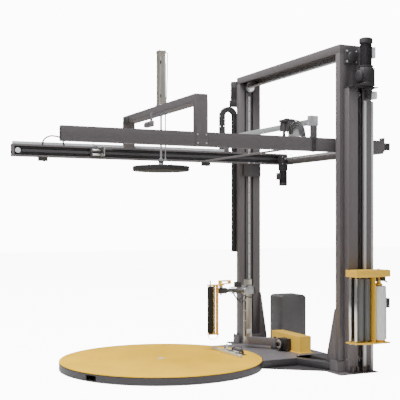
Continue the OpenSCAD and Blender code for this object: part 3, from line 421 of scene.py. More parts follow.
NODE_FINISH: dict[str, Finish] = {
    "base_floor_plate": DARK_STEEL, "base_ring": DARK_STEEL, "slewing_race": BRIGHT_STEEL,
    "table_gearmotor": MOTOR_PAINT, "roller_brackets": DARK_STEEL, "guide_rails": BRIGHT_STEEL,
    "lift_belts": BELT_RUBBER, "slewing_gear": BRIGHT_STEEL, "drive_pinion": BRIGHT_STEEL,
    "support_roller_1": BLACK_PLASTIC, "support_roller_2": BLACK_PLASTIC, "support_roller_3": BLACK_PLASTIC,
    "lift_shaft": BRIGHT_STEEL, "lift_idlers": BRIGHT_STEEL, "mast_sprocket_top": BRIGHT_STEEL,
    "mast_sprocket_low": BRIGHT_STEEL, "gripper_belts": LANE_RUBBER, "belt_shaft": BRIGHT_STEEL,
    "press_rods": BRIGHT_STEEL, "cabinet_board": ZINC_PLATE, "mast_chain": CHAIN_STEEL,
}


# ---------- modelling ----------


def clear_selection() -> None:
    """Leaves object mode with nothing selected."""
    if bpy.context.object is not None and bpy.context.object.mode != "OBJECT":
        bpy.ops.object.mode_set(mode="OBJECT")
    bpy.ops.object.select_all(action="DESELECT")


def take(piece: bpy.types.Object) -> None:
    """Makes a piece the only selected one and the active one."""
    clear_selection()
    piece.select_set(True)
    bpy.context.view_layer.objects.active = piece


def settle(piece: bpy.types.Object) -> bpy.types.Object:
    """Moves a piece's place, turn and size into its mesh."""
    take(piece)
    bpy.ops.object.transform_apply(location=True, rotation=True, scale=True)
    return piece


def smooth(piece: bpy.types.Object, degrees: float = 38.0) -> bpy.types.Object:
    """Shades a piece smooth, with its sharp edges kept."""
    take(piece)
    bpy.ops.object.shade_smooth_by_angle(angle=math.radians(degrees))
    return piece


def round_edges(piece: bpy.types.Object, width: float, segments: int = 2) -> bpy.types.Object:
    """Bevels every sharp edge of a piece in edit mode.

    Args:
        piece: The piece to round.
        width: Width of the rounding in metres.
        segments: Number of faces across the rounding.

    Returns:
        The same piece.
    """
    take(piece)
    bpy.ops.object.mode_set(mode="EDIT")
    bpy.ops.mesh.select_mode(type="EDGE")
    bpy.ops.mesh.select_all(action="DESELECT")
    bpy.ops.mesh.edges_select_sharp(sharpness=math.radians(30))
    bpy.ops.mesh.bevel(offset=width, segments=segments, affect="EDGES", clamp_overlap=True)
    bpy.ops.object.mode_set(mode="OBJECT")
    return smooth(piece)


def pick_faces(piece: bpy.types.Object, test: Test) -> None:
    """Opens a piece in edit mode with only the faces selected that pass a test of centre and normal."""
    take(piece)
    bpy.ops.object.mode_set(mode="EDIT")
    bpy.ops.mesh.select_mode(type="FACE")
    bpy.ops.mesh.select_all(action="DESELECT")
    bpy.ops.object.mode_set(mode="OBJECT")
    for face in piece.data.polygons:
        face.select = test(face.center, face.normal)
    bpy.ops.object.mode_set(mode="EDIT")


def block(low: Sequence[float], high: Sequence[float], edge: float = 0.002,
          segments: int = 2) -> bpy.types.Object:
    """A block with rounded edges between two corners."""
    low, high = Vector(low), Vector(high)
    clear_selection()
    bpy.ops.mesh.primitive_cube_add(size=1.0, location=(low + high) / 2, scale=high - low)
    return round_edges(settle(bpy.context.object), edge, segments)


def rod(start: Sequence[float], end: Sequence[float], radius: float, edge: float = 0.001,
        sides: int = 32) -> bpy.types.Object:
    """A round bar with rounded rims between two points."""
    start, end = Vector(start), Vector(end)
    along = end - start
    clear_selection()
    turn = Vector((0, 0, 1)).rotation_difference(along).to_euler()
    bpy.ops.mesh.primitive_cylinder_add(vertices=sides, radius=radius, depth=along.length,
                                        location=(start + end) / 2, rotation=turn)
    return round_edges(settle(bpy.context.object), edge)


def turned(origin: Sequence[float], axis: Axis, profile: Sequence[tuple[float, float]],
           sides: int = 48) -> bpy.types.Object:
    """A turned piece, extruded and sized ring by ring from a disc.

    Args:
        origin: Where the profile's height 0 lies.
        axis: Direction of the profile's heights.
        profile: Pairs of radius and height, from one end to the other.
        sides: Number of faces round the piece.

    Returns:
        The new piece, closed, with its normals outwards.
    """
    clear_selection()
    radius, height = profile[0]
    bpy.ops.mesh.primitive_circle_add(vertices=sides, radius=radius, fill_type="NGON", location=(0, 0, 0))
    piece = bpy.context.object
    bpy.ops.object.mode_set(mode="EDIT")
    bpy.ops.mesh.select_all(action="SELECT")
    bpy.ops.transform.translate(value=(0, 0, height))
    for next_radius, next_height in profile[1:]:
        bpy.ops.mesh.extrude_region_move(TRANSFORM_OT_translate={"value": (0, 0, next_height - height)})
        share = next_radius / radius
        bpy.ops.transform.resize(value=(share, share, 1.0), center_override=(0, 0, next_height))
        radius, height = next_radius, next_height
    bpy.ops.mesh.select_all(action="SELECT")
    bpy.ops.mesh.normals_make_consistent(inside=False)
    bpy.ops.object.mode_set(mode="OBJECT")
    piece.matrix_world = Matrix.Translation(Vector(origin)) @ axis.turn
    return smooth(settle(piece))


def wire(points: Iterable[Sequence[float]], radius: float) -> bpy.types.Object:
    """A held hose, lead or bent wire on a smooth curve through points."""
    clear_selection()
    curve = bpy.data.curves.new("route", "CURVE")
    curve.dimensions = "3D"
    curve.bevel_depth = radius
    curve.bevel_resolution = 3
    curve.use_fill_caps = True
    spline = curve.splines.new("BEZIER")
    route = [Vector(p) for p in points]
    spline.bezier_points.add(len(route) - 1)
    for knot, place in zip(spline.bezier_points, route):
        knot.co = place
        knot.handle_left_type = knot.handle_right_type = "AUTO"
    curve.resolution_u = 8
    piece = bpy.data.objects.new("route", curve)
    bpy.context.scene.collection.objects.link(piece)
    take(piece)
    bpy.ops.object.convert(target="MESH")
    return smooth(bpy.context.object)


def twin(piece: bpy.types.Object, matrix: Matrix) -> bpy.types.Object:
    """A copy of a piece, with its own mesh, moved by a matrix."""
    copy = piece.copy()
    copy.data = piece.data.copy()
    copy.data.transform(matrix)
    bpy.context.scene.collection.objects.link(copy)
    return copy


def drop(piece: bpy.types.Object) -> None:
    """Removes a piece that served as a pattern."""
    bpy.data.objects.remove(piece, do_unlink=True)


def weld(parts: Sequence[bpy.types.Object]) -> bpy.types.Object:
    """Joins pieces into one object."""
    take(parts[0])
    for part in parts:
        part.select_set(True)
    if len(parts) > 1:
        bpy.ops.object.join()
    return bpy.context.object


def fins_round(fin: bpy.types.Object, origin: Sequence[float], count: int) -> list[bpy.types.Object]:
    """Copies of a fin, evenly turned round an upright axis. The fin itself is removed."""
    place = Matrix.Translation(Vector(origin))
    copies = [twin(fin, place @ Matrix.Rotation(2 * math.pi * i / count, 4, "Z")) for i in range(count)]
    drop(fin)
    return copies


def paint(piece: bpy.types.Object, name: str, finish: Finish) -> bpy.types.Object:
    """Names a piece and gives it its finish's material, if it has no material yet."""
    piece.name = name
    piece.data.name = name
    if not piece.data.materials:
        piece.data.materials.append(finish.material())
    return piece


def hand_over(piece: bpy.types.Object, name: str, finish: Finish, body: str,
              *stands_for: str) -> bpy.types.Object:
    """Names, finishes and mounts a piece.

    Args:
        piece: The piece.
        name: Its name.
        finish: Its finish.
        body: The body that it rides on.
        stands_for: The frame's nodes that it replaces.

    Returns:
        The same piece.
    """
    paint(piece, name, finish)
    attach(piece, body)
    if stands_for:
        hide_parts(*stands_for)
    log.info("%s rides on %s, %d faces", name, body, len(piece.data.polygons))
    return piece


def bolts(name: str, places: Sequence[Sequence[float]], axis: Axis, radius: float, body: str,
          finish: Finish = ZINC_PLATE) -> bpy.types.Object:
    """Hexagon bolts with washers, modelled once and copied.

    Args:
        name: Name of the group.
        places: Where each washer lies on its surface.
        axis: Direction that the heads point in.
        radius: Radius of a head's corners.
        body: The body that holds them.
        finish: Their finish.

    Returns:
        The joined bolts.
    """
    clear_selection()
    bpy.ops.mesh.primitive_cylinder_add(vertices=6, radius=radius, depth=radius,
                                        location=(0, 0, radius * 0.7))
    head = round_edges(settle(bpy.context.object), radius * 0.12, 1)
    washer = turned(
        (0, 0, 0), Axis.Z, [(1.35 * radius, 0), (1.35 * radius, 0.2 * radius)], sides=FACETS_SMALL
    )
    pattern = weld([head, washer])
    copies = [twin(pattern, Matrix.Translation(Vector(place)) @ axis.turn) for place in places]
    drop(pattern)
    return hand_over(weld(copies), name, finish, body)


def dressed(node: str, finish: Finish, body: str, edge: float = 0.002,
            zones: Sequence[tuple[Test, Finish]] = ()) -> bpy.types.Object:
    """A merged copy of a node with rounded edges that stands for it.

    Args:
        node: The frame's node.
        finish: Finish of the copy.
        body: The body that it rides on.
        edge: Width of the rounding in metres, or 0 to leave the edges.
        zones: Tests of face centre and normal, each with the finish of the faces that pass it.

    Returns:
        The copy.
    """
    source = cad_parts[node]
    piece = bpy.data.objects.new(f"{node}_dressed", source.data.copy())
    bpy.context.scene.collection.objects.link(piece)
    piece.data.materials.clear()
    for used in (finish, *(zone[1] for zone in zones)):
        piece.data.materials.append(used.material())
    take(piece)
    bpy.ops.object.mode_set(mode="EDIT")
    bpy.ops.mesh.select_all(action="SELECT")
    bpy.ops.mesh.remove_doubles(threshold=0.00002)
    bpy.ops.mesh.dissolve_limited(angle_limit=math.radians(0.5))
    bpy.ops.object.mode_set(mode="OBJECT")
    for face in piece.data.polygons:
        face.material_index = next((i + 1 for i, zone in enumerate(zones)
                                    if zone[0](face.center, face.normal)), 0)
    if edge:
        bevel = piece.modifiers.new("edges", "BEVEL")
        bevel.width = edge
        bevel.segments = 2
        bevel.limit_method = "ANGLE"
        bevel.angle_limit = math.radians(40)
        bpy.ops.object.modifier_apply(modifier=bevel.name)
    smooth(piece)
    return hand_over(piece, f"{node}_dressed", finish, body, node)


@dataclass(frozen=True)
class Plan:
    """Places that the sub-assemblies share, read from the frame."""

    table_top: float
    col_x0: float
    col_x1: float
    col_y: float
    col_out: float
    belt_x: float
    shaft_z: float
    beam_x0: float
    beam_y0: float
    beam_y1: float
    beam_top: float
    beam_low: float
    lane_z: float

    @staticmethod
    def read() -> "Plan":
        """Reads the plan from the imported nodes."""
        plate, columns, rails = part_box("turntable_plate"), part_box("columns"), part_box("guide_rails")
        beams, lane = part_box("frame_beams"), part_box("gripper_belts")
        beam_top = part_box("lift_plates")[1].z
        lane_z = (lane[0].z + lane[1].z) / 2
        return Plan(
            table_top=plate[1].z, col_x0=columns[0].x, col_x1=columns[1].x,
            col_y=rails[1].y, col_out=columns[1].y,
            belt_x=(rails[0].x + rails[1].x) / 2,
            shaft_z=(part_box("lift_shaft")[0].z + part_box("lift_shaft")[1].z) / 2,
            beam_x0=beams[0].x, beam_y0=beams[1].y - 0.05, beam_y1=beams[1].y,
            beam_top=beam_top, beam_low=2 * lane_z - beam_top, lane_z=lane_z,
        )


# ---------- sub-assemblies ----------


@dataclass
class Floor:
    """Base ring, floor frame, deck and feet."""

    plan: Plan
    edge: float = 0.003

    def build(self) -> None:
        """Dresses the floor parts and adds their screws."""
        dressed("base_frame", DARK_STEEL, "machine_frame", self.edge)
        dressed("deck_plate", DECK_PAINT, "machine_frame", EDGE_SHEET)
        dressed("column_feet", FRAME_PAINT, "machine_frame", self.edge)
        self.deck_screws()
        self.foot_bolts()

    def deck_screws(self) -> None:
        """Button-head screws round the deck plate."""
        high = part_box("deck_plate")[1]
        head = turned((0, 0, 0), Axis.Z, [(0.009, 0.0), (0.009, 0.0015), (0.006, 0.0035), (0.003, 0.0036)],
                      FACETS_SMALL)
        places = [(x, side * y) for side in (-1, 1) for x, y in
                  ((high.x - 0.45, high.y - 0.03), (high.x - 0.36, high.y - 0.1),
                   (high.x - 0.02, high.y - 0.15),
                   (high.x - 0.2, high.y - 0.15), (high.x - 0.02, 0.2))]
        parts = [twin(head, Matrix.Translation((x, y, high.z))) for x, y in places]
        drop(head)
        hand_over(weld(parts), "deck_screws", BRIGHT_STEEL, "machine_frame")

    def foot_bolts(self) -> None:
        """Bolts that hold each column to its foot."""
        plan, foot_top = self.plan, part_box("columns")[0].z
        low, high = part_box("column_feet")
        places = [(x, side * (plan.col_out + 0.006), foot_top)
                  for side in (-1, 1) for x in (low.x + 0.052, high.x - 0.052)]
        bolts("foot_bolts", places, Axis.Z, 0.008, "machine_frame", DARK_STEEL)


@dataclass
class Turntable:
    """Yellow plate, its centre cover and the film clamp."""

    plan: Plan
    chamfer: float = 0.0025
    cap_radius: float = 0.032

    def build(self) -> None:
        """Builds the plate, the cover and the clamp's trim."""
        low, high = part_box("turntable_plate")
        r, c = high.x, self.chamfer
        plate = turned((0, 0, 0), Axis.Z, [(r - c, low.z), (r, low.z + c), (r, high.z - c),
                                           (r - c, high.z)], FACETS_TABLE)
        hand_over(plate, "table_top", TABLE_PAINT, "turntable", "turntable_plate")
        cap = self.cap_radius
        cover = turned(
            (0, 0, high.z), Axis.Z, [(cap, 0), (cap, 0.002), (cap - 0.003, 0.004), (0.012, 0.0045)]
        )
        hand_over(cover, "centre_cover", WHITE_PAINT, "turntable")
        self.clamp(high.z)

    def clamp(self, top: float) -> None:
        """Dresses the clamp and adds its lip, cylinder caps and air fittings."""
        dressed("clamp_base", CHAIN_STEEL, "turntable", 0.0012)
        dressed("clamp_bar", WHITE_PAINT, "film_clamp", EDGE_STEEL)
        low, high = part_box("clamp_bar")
        bar_x = low.x + 0.014
        lip = block((low.x + 0.003, low.y + 0.01, top + 0.0004),
                    (low.x + 0.025, high.y - 0.01, top + 0.0012), 0.0003)
        hand_over(lip, "clamp_lip", BELT_RUBBER, "film_clamp")
        slots = [rod((bar_x, y - 0.03, top + 0.0312), (bar_x, y + 0.03, top + 0.0312), 0.003, EDGE_SHEET, 12)
                 for y in (-0.22, -0.07, 0.07, 0.22)]
        hand_over(weld(slots), "clamp_bar_pads", BLACK_PLASTIC, "film_clamp")
        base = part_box("clamp_base")
        tube_x, tube_z = base[1].x - 0.02, top + 0.026
        caps = [
            turned(
                (tube_x, y, tube_z), Axis.Y, [(0.02, 0), (0.023, 0.002), (0.023, 0.012), (0.02, 0.014)],
                FACETS_MEDIUM
            )
            for y in (-0.122, 0.05)
        ]
        hand_over(weld(caps), "clamp_cylinder_caps", BLACK_PLASTIC, "turntable")
        line = wire([(tube_x + 0.004, -0.115, tube_z + 0.023), (tube_x + 0.008, -0.11, tube_z + 0.036),
                     (tube_x + 0.012, -0.04, tube_z + 0.038), (tube_x + 0.01, 0.04, tube_z + 0.034),
                     (tube_x + 0.004, 0.058, tube_z + 0.022)], 0.003)
        hand_over(line, "clamp_air_line", BLACK_PLASTIC, "turntable")


@dataclass
class Gantry:
    """Columns, top beam, lift shaft bearings and the lift gearmotor."""

    plan: Plan
    edge: float = 0.004
    bolt: float = 0.009

    def build(self) -> None:
        """Dresses the gantry and adds its fasteners and motor."""
        dressed("columns", FRAME_PAINT, "machine_frame", self.edge)
        dressed("top_beam", FRAME_PAINT, "machine_frame", self.edge)
        dressed("shaft_bearings", DARK_STEEL, "machine_frame", EDGE_STEEL)
        self.rail_screws()
        self.bearing_bolts()
        self.pulleys()
        self.motor()

    def rail_screws(self) -> None:
        """Socket screws down both guide rails."""
        low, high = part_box("guide_rails")
        head = turned((0, 0, 0), Axis.Z, [(0.006, 0.0), (0.006, 0.0008), (0.0048, 0.0014), (0.0028, 0.0014),
                                         (0.0026, 0.0002)], 12)
        count = 22
        step = (high.z - low.z - 0.1) / (count - 1)
        parts = []
        for side, axis in ((-1, Axis.Y), (1, Axis.MINUS_Y)):
            face = side * (high.y - 0.012)
            for i in range(count):
                place = Matrix.Translation((self.plan.belt_x, face, low.z + 0.05 + i * step))
                parts.append(twin(head, place @ axis.turn))
        drop(head)
        hand_over(weld(parts), "rail_screws", BLACK_PLASTIC, "machine_frame")

    def bearing_bolts(self) -> None:
        """Four bolts round each shaft flange, and the plate on the outer side."""
        plan = self.plan
        for name, side, axis in (("near", -1, Axis.Y), ("far", 1, Axis.MINUS_Y)):
            places = [
                (
                    plan.belt_x + 0.048 * math.cos(a), side * (plan.col_y - 0.014),
                    plan.shaft_z + 0.048 * math.sin(a)
                )
                for a in CORNER_ANGLES
            ]
            bolts(f"bearing_bolts_{name}", places, axis, HEAD_MEDIUM, "machine_frame")
        outer = [(plan.belt_x + dx, -plan.col_out - 0.018, plan.shaft_z + dz)
                 for dx in (-0.055, 0.055) for dz in (-0.05, 0.05)]
        bolts("bearing_plate_bolts", outer, Axis.MINUS_Y, self.bolt, "machine_frame")

    def pulleys(self) -> None:
        """Flanges of the lift pulleys, on the shaft and the idlers."""
        collars = [turned((self.plan.belt_x, side * (self.plan.col_y - 0.0275), self.plan.shaft_z), axis,
                          [(0.03, 0.0), (0.058, 0.0), (0.058, 0.01), (0.052, 0.013), (0.034, 0.013),
                           (0.034, 0.02)], FACETS_LARGE)
                   for side, axis in ((-1, Axis.Y), (1, Axis.MINUS_Y))]
        hand_over(weld(collars), "lift_shaft_collars", ROLLER_CHROME, "lift_shaft")
        for node, body in (("lift_shaft", "lift_shaft"), ("lift_idlers", "lift_idlers")):
            low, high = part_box(node)
            z = (low.z + high.z) / 2
            rims = []
            for side in (-1, 1):
                y = side * (self.plan.col_y + 0.022 + 0.012)
                rims += [turned((self.plan.belt_x, y + d, z), Axis.Y,
                                [(0.044, 0), (0.0445, 0.0006), (0.03, 0.0012)])
                         for d in (-0.0122, 0.011)]
            hand_over(weld(rims), f"{node}_flanges", ZINC_PLATE, body)

    def motor(self) -> None:
        """Right-angle gearmotor behind the far column."""
        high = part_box("lift_gearmotor")[1]
        plan = self.plan
        dressed("lift_gearmotor", MOTOR_PAINT, "machine_frame", 0.006)
        x, y = plan.belt_x - 0.118, plan.col_out + 0.06
        cover = turned(
            (x, y, high.z), Axis.MINUS_Z, [(0.03, 0.0), (0.047, 0.004), (0.0495, 0.014), (0.0495, 0.05)],
            FACETS_FINE
        )
        hand_over(cover, "lift_motor_fan_cover", BLACK_PLASTIC, "machine_frame")
        fins = [
            turned(
                (x, y, plan.shaft_z - 0.13 + 0.013 * i), Axis.Z,
                [(0.048, 0), (0.0525, 0.001), (0.0525, 0.003), (0.048, 0.004)], FACETS
            )
            for i in range(11)
        ]
        hand_over(weld(fins), "lift_motor_fins", MOTOR_PAINT, "machine_frame")
        face = plan.col_out + 0.115
        places = [(plan.belt_x + dx, face, plan.shaft_z + dz) for dx in (-0.05, 0.06)
                  for dz in (-0.05, 0.05)]
        bolts("lift_motor_bolts", places, Axis.Y, 0.007, "machine_frame")


@dataclass
class FilmMast:
    """Mast of the film carriage with its gearmotor and cable duct."""

    plan: Plan
    chain_pitch: float = 0.0127

    def build(self) -> None:
        """Dresses the mast and builds its head and its foot."""
        low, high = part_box("film_mast")
        rail = BRIGHT_STEEL
        front = -self.plan.col_out - 0.075
        dressed("film_mast", FRAME_PAINT, "machine_frame", EDGE_TUBE,
                [(lambda c, n: c.y < front - 0.0005 and c.z < high.z - 0.1, rail)])
        dressed("cable_guides", BLACK_PLASTIC, "machine_frame", EDGE_PLATE,
                [(lambda c, n: c.y < 0 or c.z < 0.2, PALE_ALU),
                 (lambda c, n: c.x > self.plan.col_x0 + 0.02, PALE_ALU)])
        self.foot(low, front)
        self.head(high.z, front)
        self.chain()

    def foot(self, low: Vector, front: float) -> None:
        """Small ribs between the mast and its foot plate."""
        ribs = []
        for x in (low.x + 0.03, low.x + 0.09, low.x + 0.17, low.x + 0.225):
            rib = block((x, front - 0.03, low.z + 0.0004), (x + 0.006, front - 0.0002, low.z + 0.055),
                        0.0006)
            pick_faces(rib, lambda c, n: n.z > 0.9)
            bpy.ops.transform.resize(value=(1.0, 0.15, 1.0),
                                     center_override=(x, front - 0.0002, low.z + 0.055))
            bpy.ops.object.mode_set(mode="OBJECT")
            ribs.append(rib)
        hand_over(weld(ribs), "mast_foot_ribs", FRAME_PAINT, "machine_frame")

    def head(self, top: float, front: float) -> None:
        """Gearbox casting, flange, motor with its fan cover, terminal box and encoder."""
        low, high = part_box("mast_gearmotor")
        x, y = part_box("film_mast")[0].x + 0.17, front - 0.035
        base = block(
            (low.x, front - 0.06, top),
            (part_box("film_mast")[1].x + 0.04, -self.plan.col_out - 0.006, top + 0.01), EDGE_STEEL
        )
        casting = turned(
            (x, y, top), Axis.Z,
            [
                (0.07, 0.01), (0.084, 0.014), (0.086, 0.03), (0.078, 0.034), (0.072, 0.05), (0.078, 0.075),
                (0.083, 0.11), (0.082, 0.145), (0.074, 0.175), (0.066, 0.188), (0.07, 0.192), (0.07, 0.204),
                (0.056, 0.207)
            ],
            FACETS_FINE
        )
        neck = turned((x + 0.04, y + 0.008, top), Axis.MINUS_Z, [
            (0.05, 0.0), (0.05, 0.012), (0.034, 0.022), (0.027, 0.05), (0.026, 0.09), (0.02, 0.099)], FACETS)
        side = turned((x - 0.02, y, top + 0.1), Axis.MINUS_X, [
            (0.055, 0.04), (0.058, 0.055), (0.058, 0.066), (0.05, 0.072), (0.03, 0.0745)], FACETS)
        gear = weld([base, casting, neck, side])
        hand_over(gear, "mast_gearbox", MOTOR_PAINT, "machine_frame", "mast_gearmotor")
        ribs = fins_round(block((0.066, -0.003, 0.012), (0.084, 0.003, 0.18), EDGE_THIN), (x, y, top), 8)
        hand_over(weld(ribs), "mast_gearbox_ribs", MOTOR_PAINT, "machine_frame")
        self.motor(x, y, top + 0.2, high.z)
        flange = [(x + 0.0775 * math.cos(a), y + 0.0775 * math.sin(a), top + 0.034)
                  for a in CORNER_ANGLES]
        bolts("mast_gearbox_bolts", flange, Axis.Z, HEAD_MEDIUM, "machine_frame")
        sprocket_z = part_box("mast_sprocket_top")
        z = (sprocket_z[0].z + sprocket_z[1].z) / 2
        sx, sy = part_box("film_mast")[1].x, (sprocket_z[0].y + sprocket_z[1].y) / 2
        box = block((sx, sy - 0.038, z - 0.036), (sx + 0.07, sy + 0.042, z + 0.038), 0.005)
        cover = turned((sx + 0.0695, sy + 0.002, z), Axis.X,
                       [(0.034, 0), (0.034, 0.006), (0.028, 0.011), (0.01, 0.0122)])
        hand_over(weld([box, cover]), "mast_encoder", WHITE_PAINT, "machine_frame")

    def motor(self, x: float, y: float, low_z: float, top_z: float) -> None:
        """Finned motor with fan cover and terminal box."""
        body = turned((x, y, low_z), Axis.Z, [(0.05, 0.0), (0.05, 0.22)], FACETS_FINE)
        fin = block((0.048, -0.0012, 0.015), (0.0565, 0.0012, 0.205), EDGE_FOIL, 1)
        fins = fins_round(fin, (x, y, low_z), 28)
        end = top_z - low_z
        cover = turned(
            (x, y, low_z), Axis.Z,
            [
                (0.06, 0.215), (0.064, 0.219), (0.064, end - 0.02), (0.06, end - 0.006),
                (0.045, end - 0.001), (0.02, end)
            ],
            FACETS_FINE
        )
        rings = [turned((x, y, top_z), Axis.Z, [(r, -0.0015), (r, 0.0), (r - 0.002, 0.0)], FACETS)
                 for r in (0.042, 0.034, 0.026)]
        hand_over(weld([body, *fins, cover, *rings]), "mast_motor", MOTOR_PAINT, "machine_frame")
        box = block((x + 0.05, y - 0.03, low_z + 0.085), (x + 0.087, y + 0.03, low_z + 0.185), 0.004)
        lid = block(
            (x + 0.0865, y - 0.033, low_z + 0.082), (x + 0.0905, y + 0.033, low_z + 0.188), EDGE_PLATE
        )
        hand_over(weld([box, lid]), "mast_motor_terminal_box", WHITE_PAINT, "machine_frame")

    def chain(self) -> None:
        """Rollers and side plates of the chain, copied along both strands."""
        low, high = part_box("mast_chain")
        x0, x1 = low.x, high.x
        r = (high.y - low.y) / 2 - 0.002
        y_mid, z0, z1 = (low.y + high.y) / 2, low.z + r + 0.002, high.z - r - 0.002
        straight, bend = z1 - z0, math.pi * r
        count = round((2 * straight + 2 * bend) / self.chain_pitch)
        pin = rod((x0, 0, 0), (x1, 0, 0), 0.0019, 0.0003, 8)
        plates = [block((x, -0.0019, -self.chain_pitch * 0.62),
                        (x + 0.0016, 0.0019, self.chain_pitch * 0.62), 0.0005, 1)
                  for x in (x0 + 0.0003, x1 - 0.0019)]
        link = weld([pin, *plates])
        parts = []
        for i in range(count):
            s = i / count * 2 * (straight + bend)
            if s < straight:
                y, z, a = r, z0 + s, 0.0
            elif s < straight + bend:
                a = (s - straight) / r
                y, z = r * math.cos(a), z1 + r * math.sin(a)
            elif s < 2 * straight + bend:
                y, z, a = -r, z1 - (s - straight - bend), math.pi
            else:
                a = math.pi + (s - 2 * straight - bend) / r
                y, z = r * math.cos(a), z0 + r * math.sin(a)
            parts.append(twin(link, Matrix.Translation((0, y_mid + y, z)) @ Matrix.Rotation(a, 4, "X")))
        drop(link)
        hand_over(weld(parts), "mast_chain_links", CHAIN_STEEL, "machine_frame", "mast_chain")


@dataclass
class FilmCarriage:
    """Carriage plate, yellow frame, rollers, film roll, mandrel clamp and control box."""

    plan: Plan
    roll_low: float = 0.034
    roll_width: float = 0.5
    body: str = "film_carriage"

    def build(self) -> None:
        """Dresses the carriage and builds what it carries."""
        dressed("carriage_plate", DARK_STEEL, self.body, EDGE_TUBE)
        dressed("carriage_frame", YELLOW_PAINT, self.body, 0.006)
        self.roll()
        self.rollers()
        self.fittings()

    def roll(self) -> None:
        """Wound film on its core and mandrel."""
        low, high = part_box("film_spool")
        x, y, r = (low.x + high.x) / 2, (low.y + high.y) / 2, (high.x - low.x) / 2
        z0, z1 = low.z + self.roll_low, low.z + self.roll_low + self.roll_width
        steps = 14
        profile = [(0.04, 0.001), (r - 0.003, 0.0)]
        profile += [(r - 0.0006 * (1 + math.sin(2.1 * i)) - 0.004 * (i / steps) ** 3,
                     (i + 0.3) / (steps + 0.6) * (z1 - z0))
                    for i in range(steps + 1)]
        profile += [(r - 0.007, z1 - z0), (0.041, z1 - z0 - 0.001), (0.041, z1 - z0 - 0.006)]
        hand_over(turned((x, y, z0), Axis.Z, profile, 72), "film_roll", STRETCH_FILM, "film_spool",
                  "film_spool")
        core = turned((x, y, z0), Axis.Z, [(0.0385, -0.004), (0.0385, z1 - z0 + 0.006),
                                           (0.034, z1 - z0 + 0.006),
                                           (0.034, z1 - z0)], FACETS_LARGE)
        post = turned((x, y, 0), Axis.Z, [(0.012, low.z), (0.012, low.z + 0.013), (0.058, low.z + 0.014),
                                          (0.06, low.z + 0.017), (0.06, low.z + 0.03), (0.03, low.z + 0.033),
                                          (0.03, z1 + 0.002), (0.036, z1 + 0.004), (0.036, z1 + 0.02),
                                          (0.024, z1 + 0.028),
                                          (0.02, z1 + 0.06), (0.012, z1 + 0.062), (0.012, high.z - 0.001)],
                      FACETS_FINE)
        hand_over(core, "film_core", DECK_PAINT, "film_spool")
        hand_over(post, "film_mandrel", YELLOW_PAINT, "film_spool")

    def rollers(self) -> None:
        """Stretch rollers with bright ends, and the slim guide rollers."""
        for node, finish in (("stretch_roller_a", GREY_RUBBER), ("stretch_roller_b", GREY_RUBBER),
                             ("guide_roller_a", ROLLER_CHROME), ("guide_roller_b", ROLLER_CHROME)):
            low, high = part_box(node)
            x, y, r = (low.x + high.x) / 2, (low.y + high.y) / 2, (high.x - low.x) / 2
            journal = 0.01 if r > 0.02 else 0.006
            z0, z1 = low.z + 0.023, high.z - 0.032
            shaft = turned((x, y, 0), Axis.Z, [(journal, low.z), (journal, high.z)], FACETS_MEDIUM)
            shell = turned(
                (x, y, 0), Axis.Z,
                [
                    (r * 0.55, z0), (r * 0.6, z0 + 0.001), (r * 0.93, z0 + 0.001), (r, z0 + 0.004),
                    (r, z0 + 0.3), (r, z1 - 0.004), (r * 0.93, z1 - 0.001), (r * 0.6, z1 - 0.001),
                    (r * 0.55, z1)
                ],
                FACETS_LARGE
            )
            hand_over(shell, f"{node}_shell", finish, node, node)
            hand_over(shaft, f"{node}_shaft", BRIGHT_STEEL, node)

    def fittings(self) -> None:
        """Mandrel clamp, roller nuts, side panel and the front of the control box."""
        low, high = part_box("carriage_frame")
        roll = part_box("film_spool")
        x, y = (roll[0].x + roll[1].x) / 2, (roll[0].y + roll[1].y) / 2
        clamp = [block((x - 0.052, y - 0.03, roll[1].z - 0.062), (x - 0.022, y + 0.03, high.z - 0.055),
                       0.004),
                 block((x + 0.022, y - 0.03, roll[1].z - 0.062), (x + 0.06, y + 0.03, high.z - 0.055),
                       0.004)]
        clamp.append(rod((x + 0.055, y, roll[1].z - 0.05), (x + 0.085, y - 0.02, roll[1].z - 0.075), 0.008,
                         EDGE_STEEL, FACETS_SMALL))
        hand_over(weld(clamp), "film_mandrel_clamp", BLACK_PLASTIC, self.body)
        nuts = []
        for node in ("stretch_roller_a", "stretch_roller_b", "guide_roller_a", "guide_roller_b",
                     "film_spool"):
            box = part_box(node)
            nuts.append(((box[0].x + box[1].x) / 2, (box[0].y + box[1].y) / 2, low.z))
        bolts("carriage_roller_nuts", nuts, Axis.MINUS_Z, 0.008, self.body)
        lid = [(cx, cy, high.z) for cx in (low.x + 0.02, high.x - 0.02)
               for cy in (low.y + 0.02, high.y - 0.02)]
        bolts("carriage_lid_screws", lid, Axis.Z, HEAD_SMALL, self.body, BLACK_PLASTIC)
        panel = block((low.x + 0.03, low.y - 0.002, high.z - 0.052),
                      (x - 0.06, low.y + 0.001, high.z - 0.012), 0.0009)
        hand_over(panel, "carriage_panel", YELLOW_PAINT, self.body)
        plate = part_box("carriage_plate")
        panel_low = (plate[1].x - 0.05, plate[0].y - 0.002, plate[0].z + 0.3)
        front = block(panel_low, (plate[1].x - 0.01, plate[0].y + 0.003, plate[0].z + 0.37), EDGE_THIN)
        hand_over(front, "carriage_control_face", BLACK_PLASTIC, self.body)
        web = [(low.x + 0.045, high.y - 0.012, low.z + 0.05)]
        bolts("carriage_web_bolts", web, Axis.MINUS_Y, HEAD_MEDIUM, self.body)


